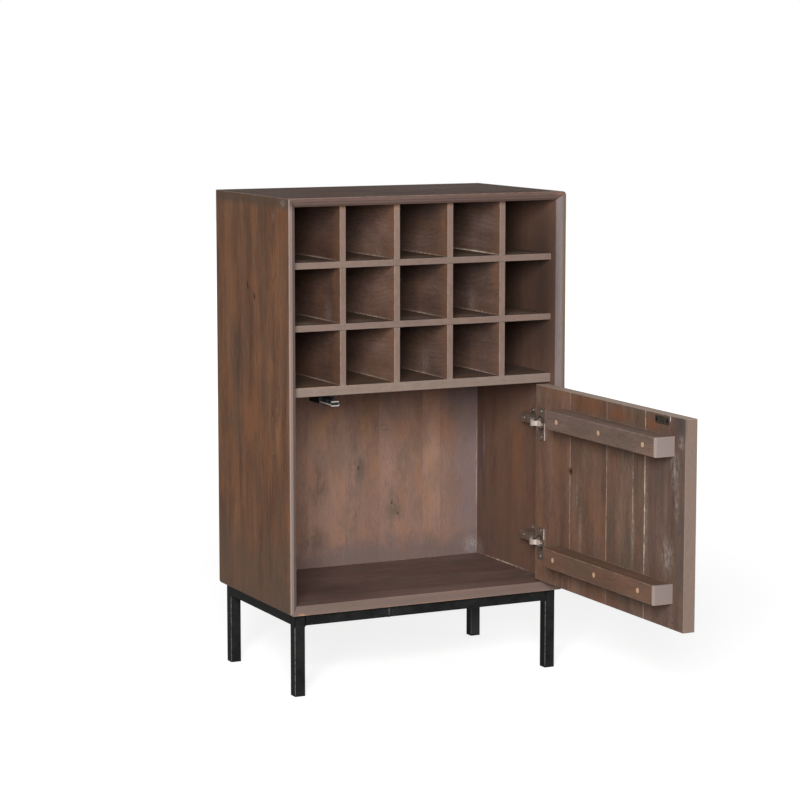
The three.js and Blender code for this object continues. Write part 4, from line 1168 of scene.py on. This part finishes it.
LEAF = [(COLLAR_Y + 0.001, 0.0), (0.15, 0.0), (0.134, 0.0007), (0.122, 0.0007)]
LEAF_WIDTH, LEAF_THICKNESS = 0.003, 0.0005
LEAF_SIDE = 0.0078
LEAF_RISE = 0.005
for number, side in ((1, -1), (2, 1)):
    upright = Matrix.Rotation(side * math.pi / 2, 4, "Y")
    leaf = ribbon(LEAF, LEAF_WIDTH, LEAF_THICKNESS)
    settle(f"catch_leaf_{number}", leaf, "cabinet", satin_nickel,
           upright, (catch_x + side * LEAF_SIDE, 0.0, catch_low.z + LEAF_RISE))
print(f"the leaves reach {1000 * (LEAF[0][0] - LEAF[-1][0]):.0f} mm forward of the collar")

# %% [markdown]
# ## Floor, backdrop and light
#
# The photograph stands on pure white. The floor is a wide white disc that glows only for the
# camera and in reflections, so it reads as white while the cabinet's shadow still shows on it.
# Round the cabinet its glow is dimmed, which lays a painted shadow there. Light comes from one
# wide soft lamp in front and from an even sky.

# %% Floor
FLOOR_RADIUS = 14.0
FLOOR_SIDES = 64
# The glow is dimmed by SHADE round SHADE_CENTRE: a painted shadow round the cabinet.
SHADE_CENTRE, SHADE_REACH = (0.0, 0.2, 0.0), (4.0, 4.0, 4.0)
SHADE = 0.26


def by_sight(tree):
    """1 for rays that the camera or a mirror image sees, 0 for light that bounces softly."""
    rays = tree.nodes.new("ShaderNodeLightPath").outputs
    mirrored = maths("MAXIMUM", rays["Is Glossy Ray"], rays["Is Transmission Ray"])
    return maths("MAXIMUM", rays["Is Camera Ray"], mirrored)


def white_stage(name):
    """White paint that looks fully lit to the camera and in reflections but takes shadow, and
    whose glow is dimmed round the cabinet as a painted shadow.
    """
    material = bpy.data.materials.new(name)
    material.use_nodes = True
    tree = material.node_tree
    tree.nodes.clear()
    place = tree.nodes.new("ShaderNodeTexCoord").outputs["Object"]
    # Painted shadow: the glow fades near the cabinet.
    near = spot(place, SHADE_CENTRE, SHADE_REACH, 0.2)
    dimmed = maths("MULTIPLY_ADD", near, -SHADE, 1.0)
    strength = times(by_sight(tree), dimmed)
    glow = node("Emission", {"Color": (1, 1, 1, 1), "Strength": strength})
    paint = tree.nodes.new("ShaderNodeBsdfDiffuse")
    paint.inputs["Color"].default_value = (0.5, 0.5, 0.5, 1.0)
    both = node("AddShader", [glow, paint.outputs[0]])
    tree.links.new(both, tree.nodes.new("ShaderNodeOutputMaterial").inputs["Surface"])
    return material


bm = bmesh.new()
bmesh.ops.create_circle(bm, cap_ends=True, segments=FLOOR_SIDES, radius=FLOOR_RADIUS)
floor = shaped("studio_floor", bm, white_stage("studio_white"))
print(f"floor {2 * FLOOR_RADIUS:.0f} m across")

# %% Sky and lamp
SKY_LIGHT = 0.3
LAMP_PLACE, LAMP_AIM = (-2.4, -3.95, 2.05), (0.0, 0.2, 0.6)
LAMP_SIZE, LAMP_POWER = 1.8, 310.0

sky = bpy.data.worlds.new("studio_sky")
bpy.context.scene.world = sky
sky.use_nodes = True
tree = sky.node_tree
strength = span(by_sight(tree), 0.0, 1.0, SKY_LIGHT, 1.0)
tree.links.new(strength, tree.nodes["Background"].inputs["Strength"])
tree.nodes["Background"].inputs["Color"].default_value = (1, 1, 1, 1)

lamp = bpy.data.lights.new("key_lamp", "AREA")
lamp.size = LAMP_SIZE
lamp.energy = LAMP_POWER
holder = placed("key_lamp", lamp)
holder.location = LAMP_PLACE
holder.rotation_euler = (Vector(LAMP_AIM) - Vector(LAMP_PLACE)).to_track_quat("-Z", "Y").to_euler()
print(f"key lamp: {LAMP_POWER} W over {LAMP_SIZE} m")
